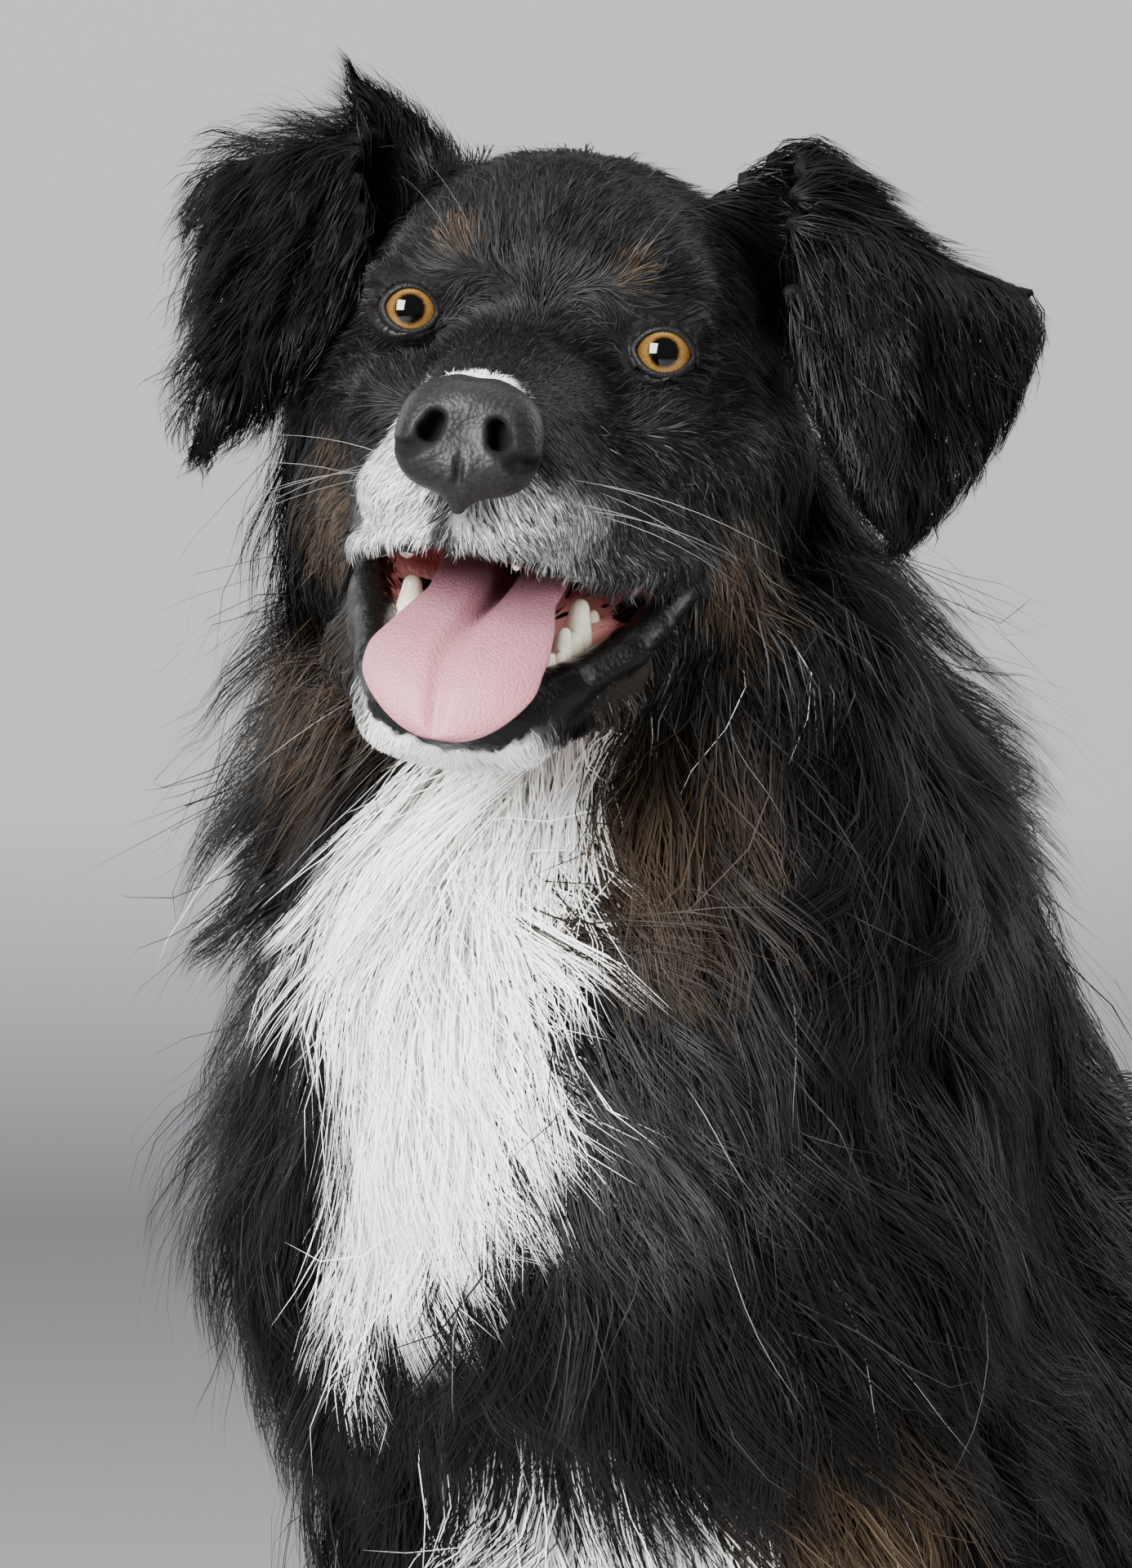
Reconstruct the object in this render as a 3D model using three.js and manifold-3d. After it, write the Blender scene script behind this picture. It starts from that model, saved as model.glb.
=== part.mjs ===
// A sitting long-coated shepherd dog, life size, as a still museum model.
// Millimetres, +Z up. The dog faces -Y and its left side is +X. The origin is
// the point on the floor where the rump rests.
import * as THREE from "three";
import { mergeVertices } from "three/addons/utils/BufferGeometryUtils.js";
import Module from "manifold-3d";

const wasm = await Module();
wasm.setup();

// ---------------------------------------------------------------- driving dimensions

const GAP = 0.35; // clearance between nodes that touch
const FINEST = 0.04; // slivers thinner than this, left where solids cross, are merged away
const ELBOW_HEIGHT = 300;
const WITHERS = [0, -182, 480]; // centre of the withers ridge, inside the body
const HEAD_AT = [2, -318, 647]; // centre of the skull
const HEAD_TURN = { yaw: 30, pitch: -6, roll: 8 }; // degrees: to its left, nose up, left ear down
const JAW_OPEN = 20; // degrees
const JAW_HINGE = [0, 10, -36];
const EYE_R = 11.5;
const EYE_AT = [32.5, -47, 8]; // left eye; the right one is mirrored
const EYE_OUT = 24; // degrees that the lid opening faces outwards
const LEG_X = 62; // half the distance between the forelegs
const HIND_X = 112; // half the distance between the hind feet

// How deep the coat stands over the flesh, out to its tips.
const COAT = { head: 5, neck: 38, torso: 27, leg: 9, paw: 5, thigh: 18, tail: 28 };
const CORE_SHARE = 0.5; // share of the long coat that the core under its locks fills
const ROOT_SINK = 7; // how deep a lock's root goes into its core

// ---------------------------------------------------------------- fields
// A form is a function from a point to its distance outside the surface.

const vec = (a) => new THREE.Vector3(...a);
const UP = vec([0, 0, 1]);
const ACROSS = vec([1, 0, 0]);

// A tapered limb from a to b, its sides narrowed or widened by `wide`.
function limb(a, b, ra, rb, wide = 1) {
  const start = vec(a);
  const line = vec(b).sub(start);
  const offset = new THREE.Vector3();
  return (p) => {
    offset.copy(p).sub(start);
    const h = THREE.MathUtils.clamp(offset.dot(line) / line.lengthSq(), 0, 1);
    offset.addScaledVector(line, -h);
    offset.x /= wide;
    return offset.length() - THREE.MathUtils.lerp(ra, rb, h);
  };
}

// An ellipsoid, pitched about the cross axis by `pitch` degrees.
function ball(at, size, pitch = 0) {
  const centre = vec(at);
  const radii = vec(size);
  const tilt = THREE.MathUtils.degToRad(-pitch);
  const q = new THREE.Vector3();
  return (p) => {
    q.copy(p).sub(centre).applyAxisAngle(ACROSS, tilt).divide(radii);
    const inside = q.length();
    return (inside * (inside - 1)) / Math.max(q.divide(radii).length(), 1e-6);
  };
}

// Several forms blended into one, with fillets of about `soft` mm.
function blend(soft, ...forms) {
  return (p) => {
    let d = forms[0](p);
    for (const form of forms.slice(1)) {
      const e = form(p);
      const h = Math.max(soft - Math.abs(d - e), 0) / soft;
      d = Math.min(d, e) - (h * h * soft) / 4;
    }
    return d;
  };
}

// A form with another one hollowed out of it.
function carve(soft, form, hollow) {
  return (p) => {
    const [d, e] = [form(p), -hollow(p)];
    const h = Math.max(soft - Math.abs(d - e), 0) / soft;
    return Math.max(d, e) + (h * h * soft) / 4;
  };
}

const bothSides = (make) => [make(1), make(-1)];

function gradient(field, p) {
  const e = 0.5;
  const probe = new THREE.Vector3();
  const slope = (x, y, z) =>
    field(probe.set(p.x + x, p.y + y, p.z + z)) - field(probe.set(p.x - x, p.y - y, p.z - z));
  return new THREE.Vector3(slope(e, 0, 0), slope(0, e, 0), slope(0, 0, e)).normalize();
}

// ---------------------------------------------------------------- meshes and solids

function geometryOf(points, faces) {
  const geometry = new THREE.BufferGeometry();
  const flat = new Float32Array(points.flatMap((p) => [p.x, p.y, p.z]));
  geometry.setAttribute("position", new THREE.BufferAttribute(flat, 3));
  geometry.setIndex(faces.flat());
  return geometry;
}

function solidOf(geometry) {
  const bare = geometry.clone();
  bare.deleteAttribute("normal");
  bare.deleteAttribute("uv");
  const merged = mergeVertices(bare, 1e-3);
  const triVerts = new Uint32Array(merged.index.array);
  const vertProperties = merged.attributes.position.array;
  return new wasm.Manifold(new wasm.Mesh({ numProp: 3, vertProperties, triVerts }));
}

// A solid rid of the slivers left where surfaces cross: its shortest edges are closed up.
function smoothed(solid) {
  const { vertProperties, triVerts } = solid.asOriginal().simplify(FINEST).getMesh();
  const point = (k) => new THREE.Vector3().fromArray(vertProperties, 3 * k);
  const joined = new Map();
  const end = (k) => (joined.has(k) ? end(joined.get(k)) : k);
  triVerts.forEach((a, k) => {
    const [from, to] = [end(a), end(triVerts[k % 3 === 2 ? k - 2 : k + 1])];
    if (from !== to && point(from).distanceTo(point(to)) < FINEST / 2) joined.set(from, to);
  });
  const corners = Uint32Array.from(triVerts, end);
  return new wasm.Manifold(new wasm.Mesh({ numProp: 3, vertProperties, triVerts: corners })).simplify(FINEST);
}

function meshOf(name, solid, material) {
  const { vertProperties, triVerts } = smoothed(solid).getMesh();
  const geometry = new THREE.BufferGeometry();
  geometry.setAttribute("position", new THREE.BufferAttribute(vertProperties, 3));
  geometry.setIndex(new THREE.BufferAttribute(triVerts, 1));
  geometry.computeVertexNormals();
  const mesh = new THREE.Mesh(geometry, material);
  mesh.name = name;
  return mesh;
}

const join = (solids) => solids.reduce((whole, s) => whole.add(s));
const cut = (solid, tools) => tools.reduce((rest, tool) => rest.subtract(tool), solid);

function largest(solid) {
  const pieces = solid.decompose();
  return pieces.reduce((best, piece) => (piece.volume() > best.volume() ? piece : best));
}

// Quads between rings of equal length, closed by a point at each end where one is given.
function stitch(rings, first, last) {
  const points = rings.flat();
  const sides = rings[0].length;
  const faces = [];
  for (let i = 0; i + 1 < rings.length; i++) {
    for (let j = 0; j < sides; j++) {
      const a = i * sides + j;
      const b = i * sides + ((j + 1) % sides);
      faces.push([a, b, b + sides], [a, b + sides, a + sides]);
    }
  }
  const fan = (tip, ring, flip) => {
    points.push(tip);
    for (let j = 0; j < sides; j++) {
      const a = ring * sides + j;
      const b = ring * sides + ((j + 1) % sides);
      faces.push(flip ? [points.length - 1, b, a] : [points.length - 1, a, b]);
    }
  };
  fan(first, 0, true);
  fan(last, rings.length - 1, false);
  return geometryOf(points, faces);
}

// The distance from `from` along `way` at which the field first reaches `level`.
function cast(field, from, way, level) {
  const step = 4;
  const reach = 400;
  const probe = new THREE.Vector3();
  const outside = (t) => field(probe.copy(from).addScaledVector(way, t)) > level;
  let far = step;
  while (far < reach && !outside(far)) far += step;
  let near = far - step;
  for (let i = 0; i < 14; i++) {
    const middle = (near + far) / 2;
    if (outside(middle)) far = middle;
    else near = middle;
  }
  return probe.copy(from).addScaledVector(way, near).clone();
}

// The closed surface at `level` of a field, reached by rays from a spine inside it.
function wrap(field, spine, { sides = 20, rings = 8, caps = 3, level = 0, across = ACROSS } = {}) {
  const curve = new THREE.CatmullRomCurve3(spine.map(vec));
  const frameAt = (t) => {
    const along = curve.getTangentAt(t);
    const side = across.clone().addScaledVector(along, -along.dot(across)).normalize();
    return { at: curve.getPointAt(t), along, side, up: along.clone().cross(side) };
  };
  const ringAt = ({ at, along, side, up }, lean) => {
    const ring = [];
    for (let j = 0; j < sides; j++) {
      const turn = (2 * Math.PI * j) / sides;
      const way = side.clone().multiplyScalar(Math.cos(turn) * Math.cos(lean));
      way.addScaledVector(up, Math.sin(turn) * Math.cos(lean));
      way.addScaledVector(along, Math.sin(lean));
      ring.push(cast(field, at, way, level));
    }
    return ring;
  };
  const all = [];
  const [start, end] = [frameAt(0), frameAt(1)];
  for (let k = caps - 1; k > 0; k--) all.push(ringAt(start, (-Math.PI / 2) * (k / caps)));
  for (let i = 0; i <= rings; i++) all.push(ringAt(frameAt(i / rings), 0));
  for (let k = 1; k < caps; k++) all.push(ringAt(end, (Math.PI / 2) * (k / caps)));
  const first = cast(field, start.at, start.along.clone().negate(), level);
  const last = cast(field, end.at, end.along, level);
  return solidOf(stitch(all, first, last));
}

// A flat band swept along a curve. `half(t)` gives half its width and thickness.
function band(spine, half, { sides = 10, rings = 10, across = ACROSS, groove = 0, from = 0, to = 1 } = {}) {
  const curve = new THREE.CatmullRomCurve3(spine.map(vec));
  const all = [];
  for (let i = 0; i <= rings; i++) {
    const t = THREE.MathUtils.lerp(from, to, i / rings);
    const along = curve.getTangentAt(t);
    const side = across.clone().addScaledVector(along, -along.dot(across)).normalize();
    const up = along.clone().cross(side);
    const [w, h] = half(t);
    const ring = [];
    for (let j = 0; j < sides; j++) {
      const turn = (2 * Math.PI * j) / sides;
      const sunk = Math.sin(turn) > 0 ? groove * Math.exp(-((Math.cos(turn) * 4) ** 2)) : 0;
      const p = curve.getPointAt(t).addScaledVector(side, w * Math.cos(turn));
      ring.push(p.addScaledVector(up, h * Math.sin(turn) * (1 - sunk)));
    }
    all.push(ring);
  }
  const middle = (ring) => ring.reduce((s, p) => s.add(p), new THREE.Vector3()).divideScalar(sides);
  return solidOf(stitch(all, middle(all[0]), middle(all[rings])));
}

const FLOOR_TOOL = solidOf(new THREE.BoxGeometry(2000, 2000, 200).translate(0, 0, -100));

// ---------------------------------------------------------------- the body's flesh

const TORSO_FORM = blend(
  40,
  limb([0, -258, 440], [0, -162, 275], 96, 104, 0.82), // rib cage
  limb([0, -165, 270], [0, -55, 140], 104, 92, 0.9), // loin and belly
  ball([0, -28, 96], [98, 84, 92]), // rump
  limb(WITHERS, [0, -100, 330], 57, 66), // withers and back
  ball([0, -316, 410], [50, 38, 60]), // forechest
  ...bothSides((s) => ball([s * 48, -284, 470], [42, 40, 50])), // mane over the shoulders
  ...bothSides((s) => limb([s * 44, -218, 468], [s * 62, -296, 398], 38, 38)), // shoulder blade
  ...bothSides((s) => limb([s * 62, -294, 392], [s * 64, -272, ELBOW_HEIGHT + 12], 36, 32)),
);
const NECK_FORM = blend(
  30,
  limb([0, -236, 470], [2, -256, 600], 76, 38), // crest
  limb([0, -286, 470], [2, -288, 552], 66, 34), // throat
  ball([42, -280, 528], [36, 34, 50]), // ruff, fuller on the outside of the head's turn
  ball([-58, -284, 534], [40, 34, 56]),
);

const forelegForm = (s) =>
  blend(
    14,
    limb([s * 66, -272, ELBOW_HEIGHT], [s * LEG_X, -284, 120], 31, 19, 0.9),
    limb([s * LEG_X, -284, 120], [s * LEG_X, -290, 62], 20, 18),
  );
const toes = (s, x, y, size) =>
  [-1.5, -0.5, 0.5, 1.5].map((k) =>
    ball([s * x + k * size * 0.62, y + Math.abs(k) * 6, size * 0.5], [size * 0.42, size, size * 0.58]),
  );
const forepawForm = (s) =>
  blend(
    8,
    limb([s * LEG_X, -290, 58], [s * LEG_X, -300, 24], 19, 22),
    ball([s * LEG_X, -308, 20], [27, 36, 19]),
    ...toes(s, LEG_X, -334, 21),
  );
const thighForm = (s) =>
  blend(
    30,
    limb([s * 66, -22, 128], [s * 100, -150, 150], 74, 52), // hip to knee
    limb([s * 104, -150, 140], [s * 104, -40, 62], 44, 32), // shank
  );
const hindfootForm = (s) =>
  blend(
    10,
    limb([s * 108, 6, 34], [s * HIND_X, -120, 22], 23, 20),
    ball([s * HIND_X, -150, 20], [27, 38, 19]),
    ...toes(s, HIND_X, -178, 21),
  );

// ---------------------------------------------------------------- the head, in its own frame
// The origin is the centre of the skull, and the muzzle points along -Y.

const HEAD_FORM = blend(
  14,
  ball([0, 8, 14], [57, 64, 50]), // brain case
  ball([0, 52, 8], [38, 28, 36]), // back of the skull
  ball([0, -28, 24], [42, 28, 30]), // forehead
  ...bothSides((s) => ball([s * 27, -42, 25], [16, 15, 11])), // brow ridges
  ...bothSides((s) => limb([s * 50, 6, -10], [s * 36, -48, -18], 20, 14)), // cheek bones
  ...bothSides((s) => ball([s * 38, 10, -38], [24, 36, 36])), // jaw muscles
  ...bothSides((s) => limb([s * 36, 0, -52], [s * 38, -26, -50], 20, 13)), // corners of the mouth
);
const MUZZLE_FORM = blend(
  12,
  limb([0, -44, -18], [0, -128, -34], 30, 20, 1.02),
  limb([0, -50, -8], [0, -138, -27], 13, 11, 1.2), // bridge
  ...bothSides((s) => limb([s * 35, -48, -40], [s * 16, -129, -46], 11, 12)), // upper lips
);

// Points of the lower jaw are given for a closed mouth and turned down about the hinge.
const HINGE = vec(JAW_HINGE);
const openJaw = (a) =>
  vec(a)
    .sub(HINGE)
    .applyAxisAngle(ACROSS, THREE.MathUtils.degToRad(JAW_OPEN))
    .add(HINGE)
    .toArray();

// ---------------------------------------------------------------- the coat's locks

// Draws between 0 and 1 that are the same on each run.
function draws(seed) {
  let state = seed;
  return () => {
    state = (state * 16807) % 2147483647;
    return state / 2147483647;
  };
}

// The stations of one lock: it leaves its sunk root along the lie, keeps to the surface of
// `over` at a height that grows to `rise`, and bends a little to one side.
function lockLine(root, { length, width, thick, rise, lie, over, draw, hang = 8 }) {
  const steps = 3;
  const turn = (draw() - 0.5) * 0.5;
  const bend = (draw() - 0.5) * 0.9;
  const size = 0.85 + draw() * 0.3;
  const widths = [0.75, 1, 0.72, 0];
  const at = root.clone();
  const stations = [];
  for (let i = 0; i <= steps; i++) {
    const t = i / steps;
    const normal = gradient(over, at);
    const height = rise * Math.pow(t, 0.8) - ROOT_SINK * (1 - t) ** 3;
    const free = Math.min(Math.max(over(at), height), height + hang * t);
    at.addScaledVector(normal, free - over(at));
    const along = lie(at);
    const into = along.dot(normal);
    along.addScaledVector(normal, into < 0 || i === 0 ? -into : -0.5 * into).normalize();
    along.applyAxisAngle(normal, turn + bend * t);
    const side = normal.clone().cross(along).normalize();
    const half = (width * size * widths[i]) / 2;
    const edge = (s) => {
      const q = at.clone().addScaledVector(side, s * half);
      return q.addScaledVector(normal, Math.max(Math.min(free - over(q), half * 0.5), -half * 0.5));
    };
    stations.push({ at: at.clone(), normal, edges: [edge(1), edge(-1)], thick: thick * (1.1 - 0.5 * t) });
    at.addScaledVector(along, (length * size) / steps);
  }
  return stations;
}

// A convex solid with each of its faces moved out by `extra`.
function grown(solid, extra) {
  const { vertProperties, triVerts } = solid.getMesh();
  const corner = (k) => new THREE.Vector3().fromArray(vertProperties, triVerts[k] * 3);
  const { min, max } = solid.boundingBox();
  const room = 16 * extra;
  let rest = wasm.Manifold.cube(max.map((v, i) => v - min[i] + 2 * room)).translate(min.map((v) => v - room));
  const plane = new THREE.Plane();
  for (let k = 0; k < triVerts.length; k += 3) {
    plane.setFromCoplanarPoints(corner(k), corner(k + 1), corner(k + 2));
    rest = rest.trimByPlane(plane.normal.negate().toArray(), plane.constant - extra);
  }
  return rest;
}

// A lock is a keeled strip, flat below, with a ridge along its back, that ends in a point. Each of
// its lengths is convex.
function lockSolid(stations, extra = 0) {
  const rings = stations.map(({ at, normal, edges, thick }) => {
    const keel = at.clone().addScaledVector(normal, 0.6 * thick);
    return [keel, ...edges.map((q) => q.clone().addScaledVector(normal, -0.4 * thick))];
  });
  const tip = stations.at(-1).at;
  rings[rings.length - 1] = [tip];
  const lengths = rings.slice(1).map((ring, i) => {
    const length = wasm.Manifold.hull([...rings[i], ...ring].map((p) => p.toArray()));
    return extra ? grown(length, extra) : length;
  });
  return join(lengths);
}

// Locks spread evenly over a core, by equal steps along a spine and golden steps round it.
// Past the spine's end they go on over the cap, by a lean along the spine.
const GOLDEN = (Math.sqrt(5) - 1) / 2;
function coatOf(core, spine, { seed, count, to = 1, arc = [0, 360], keep = () => true, ...shape }) {
  const draw = draws(seed);
  const curve = new THREE.CatmullRomCurve3(spine.map(vec));
  const locks = [];
  for (let i = 0; i < count; i++) {
    const share = (to * (i + draw())) / count;
    const on = Math.min(share, 1);
    const lean = (share - on) * 2.4;
    const turn = THREE.MathUtils.degToRad(THREE.MathUtils.lerp(...arc, (i * GOLDEN + draw() * 0.04) % 1));
    const along = curve.getTangentAt(on);
    const side = ACROSS.clone().addScaledVector(along, -along.dot(ACROSS)).normalize();
    const way = side.clone().multiplyScalar(Math.cos(turn) * Math.cos(lean));
    way.addScaledVector(along.clone().cross(side), Math.sin(turn) * Math.cos(lean));
    way.addScaledVector(along, Math.sin(lean));
    const root = cast(core, curve.getPointAt(on), way, 0);
    if (keep(root, gradient(core, root))) locks.push(lockLine(root, { ...shape, draw }));
  }
  return locks;
}

// ---------------------------------------------------------------- nodes of the head

const eyeCentre = (s) => [s * EYE_AT[0], EYE_AT[1], EYE_AT[2]];

function eyeball(s, extra = 0) {
  const sphere = new THREE.SphereGeometry(EYE_R + extra, 12, 8);
  return solidOf(sphere.translate(...eyeCentre(s)));
}

// The almond opening between the lids, a cone that widens outwards.
function lidOpening(s) {
  const length = 30;
  const opening = new THREE.CylinderGeometry(1.25, 0.35, length, 12).translate(0, length / 2, 0);
  opening.scale(10.5, 1, 8).rotateX(Math.PI).rotateZ(THREE.MathUtils.degToRad(s * EYE_OUT));
  return solidOf(opening.translate(...eyeCentre(s)));
}

function tooth(at, height, width, lean = [0, 0, 1], blunt = 0.12) {
  const cone = new THREE.CylinderGeometry(width * blunt, width * 0.5, height * 1.6, 5);
  cone.rotateX(Math.PI / 2).translate(0, 0, height * 0.2);
  const turn = new THREE.Quaternion().setFromUnitVectors(UP, vec(lean).normalize());
  return solidOf(cone.applyQuaternion(turn).translate(...at));
}

const NOSE_FORM = blend(
  7,
  ball([0, -149, -29], [14, 9, 12]),
  ...bothSides((s) => ball([s * 10, -147, -31], [8.5, 9, 10])), // wings
  ball([0, -149, -40], [7, 8, 9]),
);
function nosePad() {
  const pad = wrap(NOSE_FORM, [[0, -147, -31], [0, -149, -31]], { sides: 16, rings: 1, caps: 5 });
  const nostrils = bothSides((s) => {
    const hole = new THREE.SphereGeometry(1, 8, 6).scale(4.2, 7, 5);
    return solidOf(hole.rotateY(s * 0.5).translate(s * 9.5, -159, -31));
  });
  return cut(pad, nostrils);
}

function upperTeeth() {
  const canines = bothSides((s) => tooth([s * 14, -127, -54], 11, 8, [s * 0.15, -0.1, -1]));
  const incisors = [-2, -1, 0, 1, 2].map((k) => tooth([k * 4, -136 + k * k * 0.8, -52], 6, 5, [0, -0.1, -1]));
  return [...canines, ...incisors];
}

const skullCore = (extra = 0) =>
  wrap(HEAD_FORM, [[0, 34, 2], [0, -20, 0]], { sides: 26, rings: 6, caps: 5, level: COAT.head + extra });
const muzzleCore = (extra = 0) =>
  wrap(MUZZLE_FORM, [[0, -50, -24], [0, -122, -34]], {
    sides: 22,
    rings: 6,
    caps: 4,
    level: COAT.head * 0.4 + extra,
  });

const mouthHollow = (extra = 0) =>
  wrap(limb([0, -30, -64], [0, -122, -59], 28, 12, 0.95), [[0, -40, -63], [0, -118, -59]], {
    sides: 10,
    rings: 3,
    caps: 3,
    level: extra,
  });

function headSolid() {
  const lids = bothSides((s) => eyeball(s, 2.5));
  const hollowed = cut(join([skullCore(), muzzleCore(), ...lids]), [mouthHollow()]);
  const openings = bothSides((s) => [eyeball(s, GAP), lidOpening(s)]).flat();
  return largest(cut(join([hollowed, ...upperTeeth()]), openings));
}

const JAW_FORM = blend(
  10,
  ...bothSides((s) => limb(openJaw([s * 36, -8, -50]), openJaw([s * 31, -62, -60]), 13, 11)),
  ...bothSides((s) => limb(openJaw([s * 31, -62, -60]), openJaw([s * 16, -110, -62]), 11, 11)),
  limb(openJaw([0, 0, -60]), openJaw([0, -104, -65]), 18, 12, 1.6), // floor of the mouth
  ball(openJaw([0, -114, -62]), [18, 14, 11]), // chin
);

const jawCore = (extra = 0) =>
  wrap(JAW_FORM, [openJaw([0, -12, -61]), openJaw([0, -106, -64])], {
    sides: 18,
    rings: 7,
    caps: 3,
    level: extra,
  });

function jawSolid() {
  const trough = wrap(
    limb(openJaw([0, 10, -38]), openJaw([0, -98, -43]), 20, 13),
    [openJaw([0, 0, -38]), openJaw([0, -94, -43])],
    { sides: 10, rings: 3, caps: 3 },
  );
  const lip = (s) => {
    const corner = [[s * 45, -44, -46], [s * 42, -70, -51], [s * 29, -104, -57]];
    const front = [[s * 12, -123, -60], [0, -125, -60]];
    return band([...corner, ...front].map(openJaw), () => [3.2, 4.4], { sides: 5, rings: 7 });
  };
  const cheekTooth = (s, k) => openJaw([s * (23 + k * 2.4), -103 + k * 13, -50]);
  const teeth = bothSides((s) => [
    tooth(openJaw([s * 15, -115, -50]), 12, 8, openJaw([s * 2, 0, 40])),
    ...[0, 1, 2, 3].map((k) => tooth(cheekTooth(s, k), 8, 12, [0, -0.4, 1], 0.3)),
  ]).flat();
  const incisorAt = (k) => openJaw([k * 4, -121, -53]);
  const incisors = [-1.5, -0.5, 0.5, 1.5].map((k) => tooth(incisorAt(k), 5, 4.4, [0, -0.5, 1]));
  return join([jawCore().subtract(trough), lip(1), lip(-1), ...teeth, ...incisors]);
}

function tongueSolid(extra = 0) {
  const path = [[0, -28, -55], [0, -62, -62], [0, -92, -74], [0, -112, -85], [0, -123, -97], [0, -126, -109]];
  const half = (t) => {
    const tip = Math.sqrt(Math.max(1 - Math.max((t - 0.78) / 0.22, 0) ** 2, 0.03));
    return [(16 + 7 * t) * tip + extra, (5 - 1.5 * t) * Math.max(tip, 0.5) + extra];
  };
  return band(path, half, { sides: 12, rings: 12, groove: 0.35 });
}

// One ear: it rises from its base to a fold and hangs forward from there. The rows run from the
// base line over the fold to the tip, each from the edge near the face to the outer edge.
const EAR_ROWS = {
  left: [
    [[34, 0, 50], [58, 40, 18]],
    [[44, 6, 65], [88, 42, 44]],
    [[58, 6, 75], [124, 24, 46]],
    [[62, -10, 63], [131, 10, 37]],
    [[67, -16, 25], [121, 0, -2]],
    [[94, -17, -19], [109, -12, -24]],
  ],
  right: [
    [[36, 0, 46], [56, 40, 18]],
    [[48, 6, 60], [82, 48, 40]],
    [[62, 4, 65], [104, 40, 54]],
    [[66, -10, 56], [109, 28, 46]],
    [[60, -16, 23], [103, 8, 10]],
    [[84, -14, -17], [97, -8, -22]],
  ],
};
// Locks on an ear: a tuft that rises from the fold, and a fringe that hangs from the outer edge.
const EAR_LOCKS = [
  { row: 0.3, share: 0.4, lie: [0.1, 0.5, 0.8], length: 38 },
  { row: 0.72, share: 0.84, lie: [0.6, 0.4, -0.9], length: 44 },
  { row: 0.95, share: 0.5, lie: [0.25, 0.1, -1], length: 34 },
];
function earFringe(s, inner, far) {
  return EAR_LOCKS.map(({ row, share, lie, length }, k) => {
    const at = inner.getPoint(row).lerp(far.getPoint(row), share);
    const along = vec(lie).multiply(vec([s, 1, 1])).normalize();
    const flat = far.getPoint(row).sub(inner.getPoint(row)).normalize();
    const normal = flat.cross(along).normalize();
    if (normal.y > 0) normal.negate();
    const side = normal.clone().cross(along).normalize();
    const widths = [0.8, 1, 0.6, 0];
    return widths.map((wide, i) => {
      const t = i / (widths.length - 1);
      const here = at.clone().addScaledVector(along, length * (t - 0.2));
      here.addScaledVector(normal, -2 - 3 * t * (k % 2)).z -= 6 * t * t;
      const edges = [1, -1].map((e) => here.clone().addScaledVector(side, e * 11 * wide));
      return { at: here, normal, edges, thick: 6 };
    });
  });
}

function earSolid(s, rows, extra = 0) {
  const edge = (k) => new THREE.CatmullRomCurve3(rows.map((row) => vec(row[k]).multiply(vec([s, 1, 1]))));
  const [inner, far] = [edge(0), edge(1)];
  const steps = 10;
  const columns = 4;
  const spread = 1 + extra / 12; // widens the flap by the clearance on both edges
  const at = (i, j) => {
    const share = 0.5 + (j / columns - 0.5) * spread;
    const p = inner.getPoint(i / steps).lerp(far.getPoint(i / steps), share);
    p.y -= 7 * Math.sin((Math.PI * j) / columns) * Math.min(1, i / 4); // the flap's swell
    return p;
  };
  const grid = [];
  for (let i = 0; i <= steps; i++) for (let j = 0; j <= columns; j++) grid.push(at(i, j));
  const index = (i, j) => i * (columns + 1) + j;
  const normalAt = (i, j) => {
    const du = grid[index(Math.min(i + 1, steps), j)].clone().sub(grid[index(Math.max(i - 1, 0), j)]);
    const dv = grid[index(i, Math.min(j + 1, columns))].clone().sub(grid[index(i, Math.max(j - 1, 0))]);
    return du.cross(dv).normalize();
  };
  const thick = 3.2 + extra;
  const fringe = earFringe(s, inner, far);
  const points = [];
  for (const side of [1, -1]) {
    for (let i = 0; i <= steps; i++) {
      for (let j = 0; j <= columns; j++) {
        points.push(grid[index(i, j)].clone().addScaledVector(normalAt(i, j), side * thick));
      }
    }
  }
  const back = grid.length;
  const faces = [];
  const quad = (a, b, c, d) => faces.push([a, b, c], [a, c, d]);
  for (let i = 0; i < steps; i++) {
    for (let j = 0; j < columns; j++) {
      const [a, b, c, d] = [index(i, j), index(i + 1, j), index(i + 1, j + 1), index(i, j + 1)];
      faces.push([a, b, c], [a, c, d]);
      faces.push([back + a, back + c, back + b], [back + a, back + d, back + c]);
    }
    const [p, q] = [index(i, 0), index(i + 1, 0)];
    quad(p, back + p, back + q, q);
    const [u, w] = [index(i, columns), index(i + 1, columns)];
    quad(w, back + w, back + u, u);
  }
  for (let j = 0; j < columns; j++) {
    const [p, q] = [index(0, j), index(0, j + 1)];
    quad(q, back + q, back + p, p);
    const [u, w] = [index(steps, j), index(steps, j + 1)];
    quad(u, back + u, back + w, w);
  }
  const made = solidOf(geometryOf(points, faces));
  const flap = made.volume() > 0 ? made : solidOf(geometryOf(points, faces.map((face) => face.reverse())));
  return join([flap, ...fringe.map((line) => lockSolid(line, extra))]);
}

// ---------------------------------------------------------------- cores under the long coat

const headFrame = new THREE.Group();
headFrame.position.set(...HEAD_AT);
headFrame.rotation.order = "ZXY";
headFrame.rotation.set(
  THREE.MathUtils.degToRad(HEAD_TURN.pitch),
  THREE.MathUtils.degToRad(HEAD_TURN.roll),
  THREE.MathUtils.degToRad(HEAD_TURN.yaw),
);
headFrame.updateMatrix();
const inBody = (solid) => solid.transform([...headFrame.matrix.elements]);
const toHead = headFrame.matrix.clone().invert();
const headPoint = new THREE.Vector3();
const headCore = (p) => {
  headPoint.copy(p).applyMatrix4(toHead);
  return Math.min(HEAD_FORM(headPoint) - COAT.head, JAW_FORM(headPoint));
};

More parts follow.
